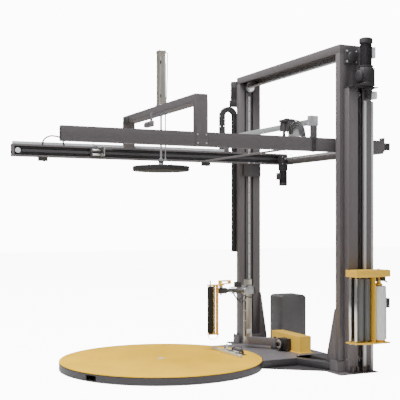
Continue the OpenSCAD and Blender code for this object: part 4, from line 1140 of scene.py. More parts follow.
@dataclass
class TopFrame:
    """Lifting frame with its belts, grippers, cross rods and belt gearmotor."""

    plan: Plan
    body: str = "top_frame"

    def build(self) -> None:
        """Dresses the frame and builds its trim."""
        plan = self.plan
        rail_y = plan.beam_y1 - 0.035
        dressed("frame_beams", FRAME_PAINT, self.body, EDGE_TUBE, [
            (lambda c, n: c.z > plan.beam_top + 0.0004 and c.x < plan.col_x1, PALE_ALU),
            (lambda c, n: c.z < plan.beam_low - 0.0004 or c.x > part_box("lift_plates")[1].x + 0.34,
             BLACK_PLASTIC),
            (lambda c, n: abs(c.z - plan.lane_z) < 0.0145 and rail_y < abs(c.y) < rail_y + 0.017,
             DARK_STEEL)])
        dressed("lift_plates", DARK_STEEL, self.body, EDGE_STEEL)
        self.plate_bolts()
        self.front_pulleys()
        self.motor()
        self.grippers()
        self.conduits()
        self.end_plates()

    def plate_bolts(self) -> None:
        """Two rows of three bolts on each lift plate."""
        low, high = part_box("lift_plates")
        for name, side, axis in (("near", -1, Axis.Y), ("far", 1, Axis.MINUS_Y)):
            places = [(x, side * self.plan.beam_y0, z) for x in (low.x + 0.03, low.x + 0.1, high.x - 0.03)
                      for z in (self.plan.beam_low + 0.01, self.plan.beam_top - 0.01)]
            bolts(f"lift_plate_bolts_{name}", places, axis, 0.007, self.body)

    def front_pulleys(self) -> None:
        """Flanged toothed pulleys at the front ends and on the drive shaft."""
        for node, body in (("front_pulleys", "front_pulleys"), ("belt_shaft", "belt_shaft")):
            low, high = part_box(node)
            x, z = (low.x + high.x) / 2, self.plan.lane_z
            rims = []
            for side, axis in ((-1, Axis.Y), (1, Axis.MINUS_Y)):
                y = side * (self.plan.beam_y0 + 0.0062)
                rims.append(
                    turned(
                        (x, y, z), axis,
                        [
                            (0.0275, 0), (0.0275, 0.0015), (0.021, 0.0022), (0.021, 0.0008),
                            (0.012, 0.0008), (0.012, 0.004), (0.006, 0.0045)
                        ],
                        FACETS_FINE
                    )
                )
            hand_over(weld(rims), f"{node}_rims", WHITE_PAINT, body)
        dressed("front_pulleys", ZINC_PLATE, "front_pulleys", 0)

    def motor(self) -> None:
        """Hanging gearmotor of the belts."""
        low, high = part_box("belt_gearmotor")
        plan = self.plan
        dressed("belt_gearmotor", MOTOR_PAINT, self.body, 0.005)
        x, y = (low.x + high.x) / 2, low.y + 0.04
        fin = block((0.0405, -0.0012, 0.03), (0.0475, 0.0012, 0.165), EDGE_FOIL, 1)
        fins = fins_round(fin, (x, y, low.z), 24)
        cover = turned(
            (x, y, low.z), Axis.MINUS_Z,
            [(0.046, -0.035), (0.048, -0.03), (0.048, -0.006), (0.044, -0.001), (0.02, 0.0)], FACETS_FINE
        )
        ring = turned((x, y, plan.beam_low - 0.065), Axis.MINUS_Z,
                      [(0.05, 0), (0.05, 0.008), (0.044, 0.012)], FACETS_FINE)
        hand_over(weld([*fins, cover, ring]), "belt_motor_fins", MOTOR_PAINT, self.body)
        box = block((x - 0.078, y - 0.028, low.z + 0.07), (x - 0.04, y + 0.028, low.z + 0.15), EDGE_TUBE)
        hand_over(box, "belt_motor_terminal_box", BLACK_PLASTIC, self.body)
        places = [(x + dx, low.y, plan.lane_z + dz) for dx in (-0.03, 0.03) for dz in (-0.06, 0.02)]
        bolts("belt_motor_bolts", places, Axis.MINUS_Y, HEAD_MEDIUM, self.body)

    def grippers(self) -> None:
        """Gripper carriages with their air cylinders, jaws with pads, and air lines."""
        body = "gripper_slides"
        dressed("gripper_slides", DARK_STEEL, body, EDGE_PLATE)
        dressed("gripper_jaws", ZINC_PLATE, "gripper_jaws", EDGE_THIN)
        z, x0 = self.plan.lane_z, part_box("gripper_slides")[0].x
        parts, lines, pads = [], [], []
        for side, axis in ((-1, Axis.Y), (1, Axis.MINUS_Y)):
            face = side * (self.plan.beam_y0 - 0.014)
            near = face - side * 0.018
            for dz in (-0.024, 0.024):
                parts.append(
                    rod(
                        (x0 + 0.015, near, z + dz), (x0 + 0.1, near, z + dz), 0.011, EDGE_STEEL,
                        FACETS_MEDIUM
                    )
                )
                parts.append(block((x0 + 0.03, min(face, near), z + dz - 0.009),
                                   (x0 + 0.045, max(face, near), z + dz + 0.009), EDGE_THIN))
            parts.append(
                turned(
                    (x0 + 0.12, face, z - 0.02), axis,
                    [(0.016, 0), (0.016, 0.012), (0.009, 0.014), (0.009, 0.022)], FACETS_MEDIUM
                )
            )
            lines.append(wire([(x0 + 0.02, near, z + 0.034), (x0, near - side * 0.012, z + 0.05),
                               (x0 + 0.05, near - side * 0.02, z + 0.062), (x0 + 0.11, near, z + 0.04)],
                              0.003))
            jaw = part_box("gripper_jaws")
            jaw_y = side * (self.plan.beam_y0 - 0.09)
            pads.append(block((jaw[0].x + 0.0065, jaw_y - 0.045, jaw[0].z - 0.003),
                              (jaw[0].x + 0.0135, jaw_y + 0.045, jaw[0].z + 0.001), EDGE_THIN))
        hand_over(weld(parts), "gripper_cylinders", ZINC_PLATE, body)
        hand_over(weld(lines), "gripper_air_lines", BLACK_PLASTIC, body)
        hand_over(weld(pads), "gripper_jaw_pads", BELT_RUBBER, "gripper_jaws")

    def conduits(self) -> None:
        """Arched conduit on the far beam, cable loom over the near one, and the sensors' leads."""
        plan = self.plan
        x, y, z = -0.73, plan.beam_y1 - 0.045, plan.beam_top
        front = wire([(x, y, z + 0.004), (x - 0.028, y, z + 0.07), (x - 0.1, y, z + 0.094),
                      (x - 0.167, y, z + 0.088),
                      (x - 0.22, y, z + 0.045), (x - 0.231, y, z + 0.002)], 0.0085)
        hand_over(front, "front_conduit", BLACK_PLASTIC, self.body)
        loom = [wire([(1.15 + 0.009 * i, 0.03 - plan.beam_y1, z + 0.006),
                      (1.15 + 0.01 * i, 0.01 - plan.beam_y1, z + 0.012),
                      (1.155 + 0.01 * i, -0.006 - plan.beam_y1, z - 0.012),
                      (1.16 + 0.007 * i, -0.008 - plan.beam_y1, z - 0.07),
                      (1.165 + 0.006 * i, -0.006 - plan.beam_y1, plan.beam_low + 0.01),
                      (1.165 + 0.006 * i, 0.02 - plan.beam_y1, plan.beam_low - 0.005)], 0.0042)
                for i in range(5)]
        hand_over(weld(loom), "beam_loom", BLACK_PLASTIC, self.body)
        drops = []
        for x in (-1.0, 0.88):
            for side in (-1, 1):
                top = (x + 0.02, side * (plan.beam_y0 - 0.004), plan.beam_low + 0.012)
                drops.append(wire([top, (x + 0.012, side * (plan.beam_y0 - 0.012), plan.beam_low - 0.006),
                                   (x + 0.03, side * (plan.beam_y0 + 0.002), plan.beam_low - 0.022)],
                                  0.0028))
        hand_over(weld(drops), "sensor_leads", BLACK_PLASTIC, self.body)
        lenses = [turned((x + 0.06, side * (plan.beam_y0 + 0.022), plan.beam_low - 0.038), Axis.MINUS_Z,
                         [(0.011, 0), (0.011, 0.004), (0.008, 0.005)], 20) for x in (-1.0, 0.88)
                  for side in (-1, 1)]
        hand_over(weld(lenses), "sensor_lenses", ZINC_PLATE, self.body)

    def end_plates(self) -> None:
        """Cover plates with screws at the frame's front ends."""
        plan = self.plan
        plates, places = [], []
        for side in (-1, 1):
            y0, y1 = sorted((side * (plan.beam_y0 + 0.002), side * (plan.beam_y1 - 0.002)))
            plates.append(block((plan.beam_x0 - 0.003, y0, plan.beam_low + 0.004),
                                (plan.beam_x0 + 0.0003, y1, plan.beam_top - 0.004), EDGE_THIN))
            places += [(plan.beam_x0 - 0.003, (y0 + y1) / 2, z)
                       for z in (plan.beam_low + 0.02, plan.beam_top - 0.02)]
        hand_over(weld(plates), "frame_end_plates", DARK_STEEL, self.body)
        bolts("frame_end_bolts", places, Axis.MINUS_X, 0.004, self.body)


@dataclass
class Press:
    """Press portal, cylinder, valve block, hoses, rods and foam platen."""

    plan: Plan
    body: str = "top_frame"
    hose: float = 0.0045

    def build(self) -> None:
        """Dresses the portal and builds the press."""
        plan = self.plan
        dressed("press_portal", FRAME_PAINT, self.body, 0.004,
                [(lambda c, n: abs(c.y) > plan.beam_y1 + 0.0062, ZINC_PLATE)])
        dressed("press_cylinder", ANODISED, self.body, EDGE_TUBE)
        self.cylinder_trim()
        self.hoses()
        self.rod_end()
        self.platen()

    def cylinder_trim(self) -> None:
        """Tie-rod nuts, sensor rails and air fittings of the cylinder."""
        low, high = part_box("press_cylinder")
        half = (high.y - low.y) / 2 - 0.018
        nuts = [(x, y, high.z) for x in (-half + 0.008, half - 0.008) for y in (-half + 0.008, half - 0.008)]
        bolts("cylinder_nuts", nuts, Axis.Z, 0.0065, self.body)
        base = low.z + 0.015
        rails = [block((x - 0.004, -half - 0.0035, base + 0.04), (x + 0.004, -half + 0.0005, high.z - 0.06),
                       EDGE_THIN)
                 for x in (-0.02, 0.02)]
        hand_over(weld(rails), "cylinder_sensor_rails", PALE_ALU, self.body)
        sensors = [block((-0.025, -half - 0.011, z), (-0.015, -half - 0.003, z + 0.03), EDGE_PLATE)
                   for z in (base + 0.07, high.z - 0.13)]
        hand_over(weld(sensors), "cylinder_sensors", BLACK_PLASTIC, self.body)
        fittings = [
            turned(
                (half, 0.0, z), Axis.X, [(0.009, -0.002), (0.009, 0.008), (0.006, 0.01), (0.006, 0.022)],
                FACETS_SMALL
            )
            for z in (base + 0.025, high.z - 0.012)
        ]
        hand_over(weld(fittings), "cylinder_fittings", ZINC_PLATE, self.body)
        flange = [(x, y, base) for x in (-0.03, 0.022) for y in (-0.044, 0.044)]
        bolts("cylinder_flange_bolts", flange, Axis.Z, HEAD_SMALL, self.body)

    def hoses(self) -> None:
        """Air hoses down the cylinder and along the portal to the junction at its far end."""
        plan = self.plan
        low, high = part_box("press_cylinder")
        portal_low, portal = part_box("press_portal")
        x = high.x + 0.016
        end_y = plan.beam_y0 - 0.08
        runs = []
        for i, top in enumerate((high.z - 0.012, low.z + 0.04)):
            dx, dz = 0.0, portal.z + 0.008 + 0.011 * i
            start = [(x + 0.004, 0.0, top), (x + 0.014, 0.0, top - 0.006), (x + 0.016, 0.006, top - 0.04)]
            fall = [(x + 0.012, 0.012 + 0.012 * i, portal.z + 0.2)] if i == 0 else []
            turn = [(x + 0.006 + dx, 0.03, dz + 0.045), (x - 0.006, 0.1, dz + 0.004)]
            along = [(x - 0.008, 0.1 + j * (end_y - 0.1) / 6, dz + (0.003 if j % 2 else 0.0))
                     for j in range(1, 7)]
            runs.append(wire(start + fall + turn + along, self.hose))
        hand_over(weld(runs), "press_hoses", BLACK_PLASTIC, self.body)
        lump = block((portal_low.x - 0.03, end_y - 0.06, portal.z - 0.09),
                     (portal_low.x + 0.004, end_y + 0.05, portal.z - 0.02),
                     0.008, 3)
        ties = [block((x - 0.03, y - 0.003, portal.z + 0.0005), (x + 0.012, y + 0.003, portal.z + 0.026),
                      EDGE_THIN)
                for y in (0.2, 0.42, 0.64)]
        hand_over(weld([lump, *ties]), "hose_junction", BLACK_PLASTIC, self.body)
        hang = portal.z - 0.08
        valve = block((-0.098, 0.03, hang - 0.115), (-0.0602, 0.2, hang - 0.06), EDGE_TUBE)
        bracket = block((-0.0612, 0.08, hang - 0.085), (-0.0572, 0.14, hang + 0.03), EDGE_THIN)
        ports = [
            turned(
                (-0.098, 0.065 + 0.022 * i, hang - 0.08), Axis.MINUS_X,
                [(0.007, 0), (0.007, 0.007), (0.004, 0.009), (0.004, 0.016)], FACETS_SMALL
            )
            for i in range(5)
        ]
        coil = block((-0.094, 0.198, hang - 0.105), (-0.064, 0.235, hang - 0.07), EDGE_TUBE)
        hand_over(weld([valve, bracket, coil, *ports]), "press_valve_block", DECK_PAINT, self.body)

    def rod_end(self) -> None:
        """Lock nuts on the rods, screws of the platen's plate and a guide collar."""
        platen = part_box("press_platen")
        z = platen[1].z
        cross = self.plan.beam_low - 0.07
        nuts = [turned((0, 0, cross + 0.015), Axis.Z, [(0.017, 0), (0.017, 0.012), (0.013, 0.014)], HEX),
                turned((0.047, 0, cross + 0.015), Axis.Z, [(0.012, 0), (0.012, 0.01), (0.009, 0.012)], HEX)]
        hand_over(weld(nuts), "press_rod_nuts", ZINC_PLATE, "press")
        screws = [(0.13 * math.cos(a), 0.13 * math.sin(a), z + 0.008)
                  for a in (i * math.pi / 3 for i in range(6))]
        bolts("platen_plate_screws", screws, Axis.Z, HEAD_MEDIUM, "press")
        collar = turned(
            (0, 0, cross), Axis.MINUS_Z, [(0.028, 0), (0.028, 0.006), (0.0245, 0.01), (0.0245, 0.02)],
            FACETS
        )
        hand_over(collar, "platen_collar", DARK_STEEL, "press")

    def platen(self) -> None:
        """Foam disc, crowned a little below and with soft rims."""
        low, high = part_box("press_platen")
        r, t = high.x, high.z - low.z
        soft = 0.012
        profile = [(0.02, 0.0), (r * 0.5, 0.0006), (r - 0.05, 0.002), (r - soft, 0.0045)]
        profile += [(r - soft + soft * math.sin(a), 0.0045 + soft * (1 - math.cos(a)))
                    for a in (math.radians(d) for d in (25, 50, 75, 90))]
        profile += [(r - 0.0025, t * 0.5)]
        profile += [(r - soft + soft * math.cos(a), t - soft + soft * math.sin(a) - 0.001)
                    for a in (math.radians(d) for d in (0, 25, 50, 75, 90))]
        profile += [(r * 0.6, t - 0.0005), (0.16, t)]
        disc = turned((0, 0, low.z), Axis.Z, profile, 120)
        hand_over(disc, "foam_platen", BLACK_FOAM, "press", "press_platen")


@dataclass
class SheetCutter:
    """Cutter rail, its carriage, and the arched guard with its looped cables."""

    plan: Plan

    def build(self) -> None:
        """Dresses the cutter and adds its cables."""
        low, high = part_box("cutter_bridge")
        x, plan = (low.x + high.x) / 2 + 0.004, self.plan
        rail_z = high.z - 0.078
        dressed("cutter_bridge", PALE_ALU, "top_frame", EDGE_STEEL,
                [(lambda c, n: c.z < rail_z - 0.001 and abs(c.y) > plan.beam_y0 + 0.005
                  and abs(c.x - x) < 0.032,
                  FRAME_PAINT)])
        dressed("cutter_carriage", DARK_STEEL, "cutter_carriage", EDGE_STEEL)
        self.cables(low)
        self.trim()

    def cables(self, low: Vector) -> None:
        """Arched guard on the beam with its looped leads."""
        plan = self.plan
        x, y, z, r = low.x - 0.018, -plan.beam_y1 + 0.215, plan.beam_top + 0.02, 0.155
        guard = rod((x - 0.012, y, z), (x, y, z), r, EDGE_TUBE, 56)
        below = block((x - 0.1, y - 1.2 * r, z - 1.2 * r), (x + 0.1, y + 1.2 * r, z), 0.0)
        cut = guard.modifiers.new("flat_base", "BOOLEAN")
        cut.object = below
        take(guard)
        bpy.ops.object.modifier_apply(modifier=cut.name)
        drop(below)
        foot = block((x - 0.012, y - r - 0.006, plan.beam_top), (x, y - 0.085, z + 0.004), EDGE_STEEL)
        hand_over(weld([guard, foot]), "cutter_guard", PALE_ALU, "top_frame")
        loops = []
        for i in range(4):
            s = r + 0.004 - 0.022 * i
            arc = [(x - 0.018 - 0.001 * i, y + s * math.cos(math.radians(a)),
                    z + s * math.sin(math.radians(a)))
                   for a in (20, 50, 80, 110, 140, 170)]
            loops.append(wire([*arc, (x - 0.016, y - r - 0.004 + 0.012 * i, plan.beam_top + 0.006)], 0.005))
        hand_over(weld(loops), "cutter_cables", BLACK_PLASTIC, "top_frame")
        clips = [block((x - 0.024, y - r - 0.012 + d, plan.beam_top),
                       (x - 0.008, y - r + 0.008 + d, plan.beam_top + 0.014), EDGE_STEEL)
                 for d in (0.0, 0.03)]
        hand_over(weld(clips), "cutter_cable_clips", ZINC_PLATE, "top_frame")

    def trim(self) -> None:
        """Bolts and top cap of the cutter's carriage."""
        low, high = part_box("cutter_carriage")
        bolts(
            "cutter_bolts",
            [
                ((low.x + high.x) / 2 + dx, y, high.z)
                for dx in (-0.02, 0.02) for y in (low.y + 0.035, high.y - 0.035)
            ],
            Axis.Z, HEAD_SMALL, "cutter_carriage"
        )
        motor = turned(((low.x + high.x) / 2, (low.y + high.y) / 2, high.z), Axis.Z,
                       [(0.03, -0.002), (0.03, 0.008), (0.022, 0.012)], FACETS)
        hand_over(motor, "cutter_motor", MOTOR_PAINT, "cutter_carriage")


@dataclass
class BrushArm:
    """Tail brush arm: base housing, gearmotor, swing arm, head and sponge roller."""

    plan: Plan

    def build(self) -> None:
        """Dresses the arm and adds its clamps, leads and sponge."""
        dressed("brush_base", YELLOW_PAINT, "machine_frame", 0.005,
                [(lambda c, n: c.x < self.plan.col_x0 - 0.016, DARK_STEEL)])
        self.arm()
        self.head()
        self.sponge()
        self.gearmotor()

    def arm(self) -> None:
        """Post and arm with the clamps, end cap, plate, clips and leads."""
        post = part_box("swing_arm")[1].z
        bar_z = 0.7
        px, py, half = self.plan.col_x0 - 0.265, 0.29, 0.0325
        dressed(
            "swing_arm", ANODISED, "swing_arm", EDGE_TUBE,
            [
                (lambda c, n: c.x < px - 0.19, DARK_STEEL),
                (lambda c, n: c.z < 0.3 and c.x > px + half + 0.002, DECK_PAINT),
                (
                    lambda c, n: abs(c.z - bar_z) < 0.046 and (
                        c.x < px - half - 0.001 or c.x > px + half + 0.001 or abs(c.y - py) > half + 0.001
                    ),
                    PALE_ALU
                )
            ]
        )
        cap = block(
            (px - half - 0.0005, py - half - 0.0005, post - 0.001),
            (px + half + 0.0005, py + half + 0.0005, post + 0.004), 0.0018
        )
        hand_over(cap, "post_cap", BLACK_PLASTIC, "swing_arm")
        plate = block(
            (px - 0.028, py - half - 0.0025, 0.23), (px + 0.024, py - half + 0.0003, 0.28), EDGE_SHEET
        )
        hand_over(plate, "post_plate", WHITE_PAINT, "swing_arm")
        bolts("post_clamp_bolts", [(px + dx, py - 0.048, bar_z + dz) for dx in (-0.03, 0.03)
                                   for dz in (-0.03, 0.03)],
              Axis.MINUS_Y, HEAD_MEDIUM, "swing_arm")
        clips = [
            block((px - half - 0.008, py - 0.02, z), (px + half + 0.004, py + 0.02, z + 0.012), EDGE_STEEL)
            for z in (0.36, 0.47, 0.58)
        ]
        hand_over(weld(clips), "post_clips", WHITE_PAINT, "swing_arm")
        lead = wire([(px - half - 0.006, py - 0.012, 0.2), (px - half - 0.008, py - 0.012, 0.36),
                     (px - half - 0.007, py - 0.01, 0.48), (px - half - 0.009, py - 0.013, 0.6),
                     (px - half - 0.02, py - 0.03, 0.64), (px - 0.1, py - 0.045, 0.62),
                     (px - 0.14, py - 0.05, 0.6), (px - 0.18, py - 0.045, 0.64),
                     (px - 0.2, py - 0.04, 0.68)], 0.0055)
        turns, pitch = 9, 0.016
        spring = wire([(px - 0.21 + pitch * i / 8, py - 0.005 + 0.036 * math.cos(math.pi * i / 4),
                        bar_z + 0.036 * math.sin(math.pi * i / 4)) for i in range(8 * turns + 1)], 0.0032)
        hand_over(spring, "arm_spring", CHAIN_STEEL, "swing_arm")
        switch = block((px - 0.16, py - 0.02, bar_z + 0.036), (px - 0.09, py + 0.02, bar_z + 0.09), 0.004)
        hand_over(switch, "arm_switch_box", BLACK_PLASTIC, "swing_arm")
        side = wire([(px - 0.05, py - 0.05, 0.735), (px, py - 0.06, 0.755), (px + 0.055, py - 0.062, 0.7),
                     (px + 0.04, py - 0.058, 0.64), (px, py - 0.05, 0.62), (px - 0.04, py - 0.045, 0.63)],
                    0.0045)
        loop = wire([(px - 0.2, py - 0.04, 0.69), (px - 0.16, py - 0.052, 0.62),
                     (px - 0.1, py - 0.055, 0.575),
                     (px - 0.06, py - 0.05, 0.6), (px - 0.045, py - 0.04, 0.66)], 0.004)
        hand_over(weld([lead, loop, side]), "arm_leads", BLACK_PLASTIC, "swing_arm")

    def head(self) -> None:
        """Yellow bracket with its brass ring and bent feeler wire."""
        dressed("brush_head", YELLOW_PAINT, "brush_head", EDGE_STEEL)
        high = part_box("brush_head")[1]
        hx, hy, z = self.plan.col_x0 - 0.595, 0.275, 0.735
        ring = turned(
            (hx, hy, z), Axis.Z, [(0.013, 0), (0.022, 0.001), (0.022, 0.016), (0.016, 0.018)], FACETS
        )
        hand_over(ring, "head_ring", ANODISED, "brush_head")
        sx, sy = self.plan.col_x0 - 0.732, 0.25
        feeler = wire([(sx - 0.02, sy - 0.015, 0.245), (sx - 0.03, sy - 0.018, 0.235),
                       (sx - 0.02, sy - 0.02, 0.21),
                       (sx + 0.03, sy - 0.02, 0.2), (sx + 0.075, sy - 0.016, 0.215),
                       (sx + 0.08, sy - 0.01, 0.243)], 0.0035)
        hand_over(feeler, "head_feeler", BRIGHT_STEEL, "brush_head")
        bolts("head_bolts", [(hx + dx, hy - 0.022, high.z - 0.02 + dz) for dx in (0.0, 0.06)
                             for dz in (-0.018, 0.0)],
              Axis.MINUS_Y, 0.004, "brush_head")

    def sponge(self) -> None:
        """Foam sleeve on its shaft, with a soft, slightly worn surface."""
        low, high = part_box("sponge_roller")
        x, y, r = (low.x + high.x) / 2, (low.y + high.y) / 2, (high.x - low.x) / 2
        z0, z1 = low.z + 0.015, high.z - 0.06
        span = z1 - z0
        count = 26
        profile = [(0.009, 0.0), (r - 0.006, 0.001)]
        profile += [
            (
                r - 0.0012 + 0.0011 * math.sin(2.3 * i) * math.cos(0.7 * i) - (
                    0.002 if i in (0, count) else 0.0
                ),
                0.004 + (span - 0.008) * i / count
            )
            for i in range(count + 1)
        ]
        profile += [(r - 0.006, span - 0.001), (0.009, span)]
        sleeve = turned((x, y, z0), Axis.Z, profile, 56)
        hand_over(sleeve, "sponge_sleeve", SPONGE, "sponge_roller", "sponge_roller")
        shaft = turned(
            (x, y, 0), Axis.Z,
            [
                (0.0068, low.z), (0.0068, z0), (0.0088, z0 + 0.0002), (0.0088, z1 - 0.0002), (0.0068, z1),
                (0.0068, high.z - 0.001), (0.0055, high.z)
            ],
            FACETS_MEDIUM
        )
        hand_over(shaft, "sponge_shaft", BRIGHT_STEEL, "sponge_roller")

    def gearmotor(self) -> None:
        """Gearmotor in front of the housing, with its bright end disc."""
        dressed("brush_gearmotor", MOTOR_PAINT, "machine_frame", 0.005)
        low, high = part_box("brush_gearmotor")
        y, z = -0.095, self.plan.table_top + 0.075
        face = turned((low.x + 0.001, y, z), Axis.MINUS_X, [(0.021, -0.001), (0.021, 0.0), (0.017, 0.001)],
                      FACETS_FINE)
        ring = turned((low.x + 0.02, y, z), Axis.MINUS_X, [(0.048, -0.001), (0.048, 0.001), (0.03, 0.003)],
                      FACETS_LARGE)
        hand_over(weld([face, ring]), "brush_motor_disc", BRIGHT_STEEL, "machine_frame")
        fins = [
            turned(
                (low.x + 0.024 + 0.007 * i, y, z), Axis.X,
                [(0.046, 0), (0.051, 0.0005), (0.051, 0.003), (0.046, 0.0035)], FACETS
            )
            for i in range(4)
        ]
        hand_over(weld(fins), "brush_motor_fins", MOTOR_PAINT, "machine_frame")
        bolts("brush_motor_bolts", [(high.x - 0.03, y + dy, high.z) for dy in (-0.055, 0.055)], Axis.Z,
              HEAD_MEDIUM,
              "machine_frame")


@dataclass
class Cabinet:
    """Electrical cabinet with lid, door, hinges, latch and glands."""

    plan: Plan

    def build(self) -> None:
        """Dresses the cabinet and adds its small parts."""
        dressed("cabinet_body", CABINET_PAINT, "machine_frame", EDGE_STEEL)
        dressed("cabinet_door", CABINET_PAINT, "cabinet_door", 0.0012)
        dressed("door_latch", BLACK_PLASTIC, "door_latch", EDGE_STEEL)
        low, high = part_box("cabinet_body")
        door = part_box("cabinet_door")
        press = block((door[1].x - 0.0102, low.y + 0.06, 0.03), (door[1].x - 0.0085, door[1].y - 0.05, 0.5),
                      0.0007)
        hand_over(press, "door_panel", CABINET_PAINT, "cabinet_door")
        seam = [block((low.x - 0.0012, low.y + 0.012, z), (low.x + 0.0003, high.y - 0.012, z + 0.004),
                      EDGE_FOIL)
                for z in (0.05, 0.514)]
        hand_over(weld(seam), "cabinet_seams", CABINET_PAINT, "machine_frame")
        glands = [turned((low.x, low.y + 0.06 + 0.045 * i, 0.1), Axis.MINUS_X,
                         [(0.014, 0), (0.014, 0.006), (0.011, 0.008), (0.011, 0.018), (0.007, 0.022)], HEX)
                  for i in range(2)]
        hand_over(weld(glands), "cabinet_glands", BLACK_PLASTIC, "machine_frame")


@dataclass
class CableGuides:
    """Ducts and the energy chain beside the far column."""

    plan: Plan
    pitch: float = 0.038
    bend: float = 0.082
    depth: float = 0.05
    half: float = 0.029

    def build(self) -> None:
        """Builds the ducts and the chain's links."""
        plan = self.plan
        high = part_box("cable_guides")[1]
        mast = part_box("film_mast")
        front = -plan.col_out - 0.075
        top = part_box("mast_sprocket_top")[0].z
        duct = block(
            (mast[1].x, front + 0.004, 0.01), (mast[1].x + 0.03, front + 0.034, top - 0.034), EDGE_STEEL
        )
        lid = block((mast[1].x + 0.002, front + 0.002, 0.012),
                    (mast[1].x + 0.028, front + 0.0045, top - 0.04), EDGE_THIN)
        far = block((plan.col_x0 + 0.024, plan.col_out, 1.06),
                    (plan.col_x0 + 0.064, plan.col_out + 0.035, 2.625), EDGE_STEEL)
        floor = block((plan.col_x1 + 0.038, 1.0, 0.01), (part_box("cabinet_body")[0].x, 1.06, 0.05), EDGE_TUBE)
        hand_over(weld([duct, lid, far]), "cable_ducts", PALE_ALU, "machine_frame", "cable_guides")
        hand_over(floor, "floor_duct", BLACK_PLASTIC, "machine_frame")
        y0 = plan.col_out + 0.01
        x, z1 = plan.col_x0 - 0.01, high.z - self.bend - self.half
        z0 = 1.08
        link = self.link(y0)
        places: list[tuple[float, float, float]] = []
        count = round((z1 - z0) / self.pitch)
        places += [(x, z0 + (i + 0.5) * (z1 - z0) / count, 0.0) for i in range(count)]
        turns = 7
        for i in range(turns):
            a = (i + 0.5) * math.pi / turns
            places.append((x - self.bend + self.bend * math.cos(a), z1 + self.bend * math.sin(a), a))
        places += [(x - 2 * self.bend, z1 - (i + 0.5) * 0.04, math.pi) for i in range(3)]
        parts = [twin(link, Matrix.Translation((px, 0, pz)) @ Matrix.Rotation(-a, 4, "Y")) for px, pz,
                 a in places]
        hand_over(weld(parts), "energy_chain_fixed", BLACK_PLASTIC, "machine_frame")
        end = plan.beam_top + 0.02
        span = z1 - 0.12 - end
        count = round(span / self.pitch)
        run = [twin(link, Matrix.Translation((x - 2 * self.bend, 0, end + (i + 0.5) * span / count)))
               for i in range(count)]
        drop(link)
        moving = paint(weld(run), "energy_chain_moving", BLACK_PLASTIC)
        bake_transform(moving)
        arm = block((x - 2 * self.bend - 0.03, plan.beam_y1 - 0.03, plan.beam_top),
                    (x - 2 * self.bend + 0.03, y0 + self.depth, plan.beam_top + 0.008), EDGE_PLATE)
        tab = block((x - 2 * self.bend - self.half, y0 + 0.003, plan.beam_top + 0.0075),
                    (x - 2 * self.bend + self.half, y0 + self.depth - 0.003, plan.beam_top + 0.03), EDGE_THIN)
        hand_over(weld([arm, tab]), "energy_chain_arm", DARK_STEEL, "top_frame")
        clips = [
            block((x + self.half, plan.col_out, z), (x + 0.034, plan.col_out + 0.06, z + 0.04), EDGE_PLATE)
            for z in (1.11, 2.485)
        ]
        hand_over(weld(clips), "energy_chain_clips", ZINC_PLATE, "machine_frame")

    def link(self, y0: float) -> bpy.types.Object:
        """One link, centred on x and z: two side plates and two crossbars."""
        h, p = self.half, self.pitch / 2
        parts = [block((-h, y, -p * 1.12), (h, y + 0.006, p * 0.88), EDGE_PLATE, 1)
                 for y in (y0, y0 + self.depth - 0.006)]
        parts += [block((x, y0, -p * 0.45), (x + 0.004, y0 + self.depth, p * 0.45), EDGE_THIN, 1)
                  for x in (-h, h - 0.004)]
        return weld(parts)


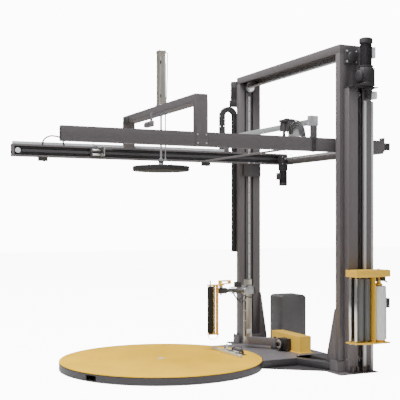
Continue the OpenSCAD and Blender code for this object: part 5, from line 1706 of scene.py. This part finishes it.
@dataclass
class Studio:
    """Pale floor, soft lights and the camera."""

    place: tuple[float, float, float] = (-3.177, -7.706, 1.447)
    heading: float = -25.06
    lens: float = 75.6
    rise: float = 0.051
    sky: float = 0.3
    sky_seen: float = 12.0
    floor_glow: float = 10.0

    def build(self) -> None:
        """Sets up the studio."""
        clear_selection()
        bpy.ops.mesh.primitive_plane_add(size=60.0, location=(0, 0, -0.0005))
        floor = bpy.context.object
        floor.name = "studio_floor"
        material = bpy.data.materials.new("studio_floor")
        material.use_nodes = True
        shader = material.node_tree.nodes["Principled BSDF"]
        shader.inputs["Base Color"].default_value = (0.9, 0.9, 0.9, 1.0)
        shader.inputs["Roughness"].default_value = 0.8
        shader.inputs["Emission Color"].default_value = (1.0, 1.0, 1.0, 1.0)
        self.seen_glow(material.node_tree, shader.inputs["Emission Strength"], 0.0, self.floor_glow)
        floor.data.materials.append(material)
        world = bpy.data.worlds.new("studio")
        bpy.context.scene.world = world
        world.use_nodes = True
        sky = world.node_tree.nodes["Background"]
        sky.inputs["Color"].default_value = (1.0, 1.0, 1.0, 1.0)
        self.seen_glow(world.node_tree, sky.inputs["Strength"], self.sky, self.sky_seen)
        target = Vector((0.4, 0.0, 1.3))
        for name, spot, size, power in (("key", (-5.0, -5.5, 5.5), 4.0, 120.0),
                                        ("fill", (6.0, -5.0, 3.5), 4.0, 60.0),
                                        ("top", (-0.6, -0.6, 7.0), 4.0, 900.0),
                                        ("back", (2.0, 6.5, 4.5), 4.0, 60.0)):
            self.lamp(name, Vector(spot), target, size, power)
        camera = bpy.data.cameras.new("camera")
        camera.lens = self.lens
        camera.sensor_width = 36.0
        camera.shift_y = self.rise
        camera.clip_end = 200.0
        holder = bpy.data.objects.new("camera", camera)
        holder.location = self.place
        holder.rotation_euler = (math.radians(90.0), 0.0, math.radians(self.heading))
        bpy.context.scene.collection.objects.link(holder)
        bpy.context.scene.camera = holder

    @staticmethod
    def seen_glow(tree: bpy.types.NodeTree, socket: bpy.types.NodeSocket, light: float, seen: float) -> None:
        """Gives a strength one value as light and another as what the camera sees."""
        path = tree.nodes.new("ShaderNodeLightPath")
        scale = tree.nodes.new("ShaderNodeMath")
        scale.operation = "MULTIPLY_ADD"
        scale.inputs[1].default_value = seen - light
        scale.inputs[2].default_value = light
        tree.links.new(path.outputs["Is Camera Ray"], scale.inputs[0])
        tree.links.new(scale.outputs["Value"], socket)

    @staticmethod
    def lamp(name: str, spot: Vector, target: Vector, size: float, power: float) -> None:
        """Adds one square area light that faces the target."""
        light = bpy.data.lights.new(name, "AREA")
        light.size = size
        light.energy = power
        holder = bpy.data.objects.new(name, light)
        holder.location = spot
        holder.rotation_euler = (target - spot).to_track_quat("-Z", "Y").to_euler()
        bpy.context.scene.collection.objects.link(holder)


def finish_nodes() -> None:
    """Gives every node that stays as the frame has it its finish."""
    for name, finish in NODE_FINISH.items():
        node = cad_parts[name]
        node.data.materials.clear()
        node.data.materials.append(finish.material())


def main() -> None:
    """Builds the sub-assemblies in order."""
    logging.basicConfig(level=logging.INFO, format="%(message)s")
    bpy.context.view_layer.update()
    clear_selection()
    plan = Plan.read()
    Studio().build()
    finish_nodes()
    for part in (Floor(plan), Turntable(plan), Gantry(plan), FilmMast(plan), FilmCarriage(plan),
                 TopFrame(plan),
                 Press(plan), SheetCutter(plan), BrushArm(plan), Cabinet(plan), CableGuides(plan)):
        log.info("building %s", type(part).__name__)
        part.build()
    clear_selection()


if __name__ == "__main__":
    main()
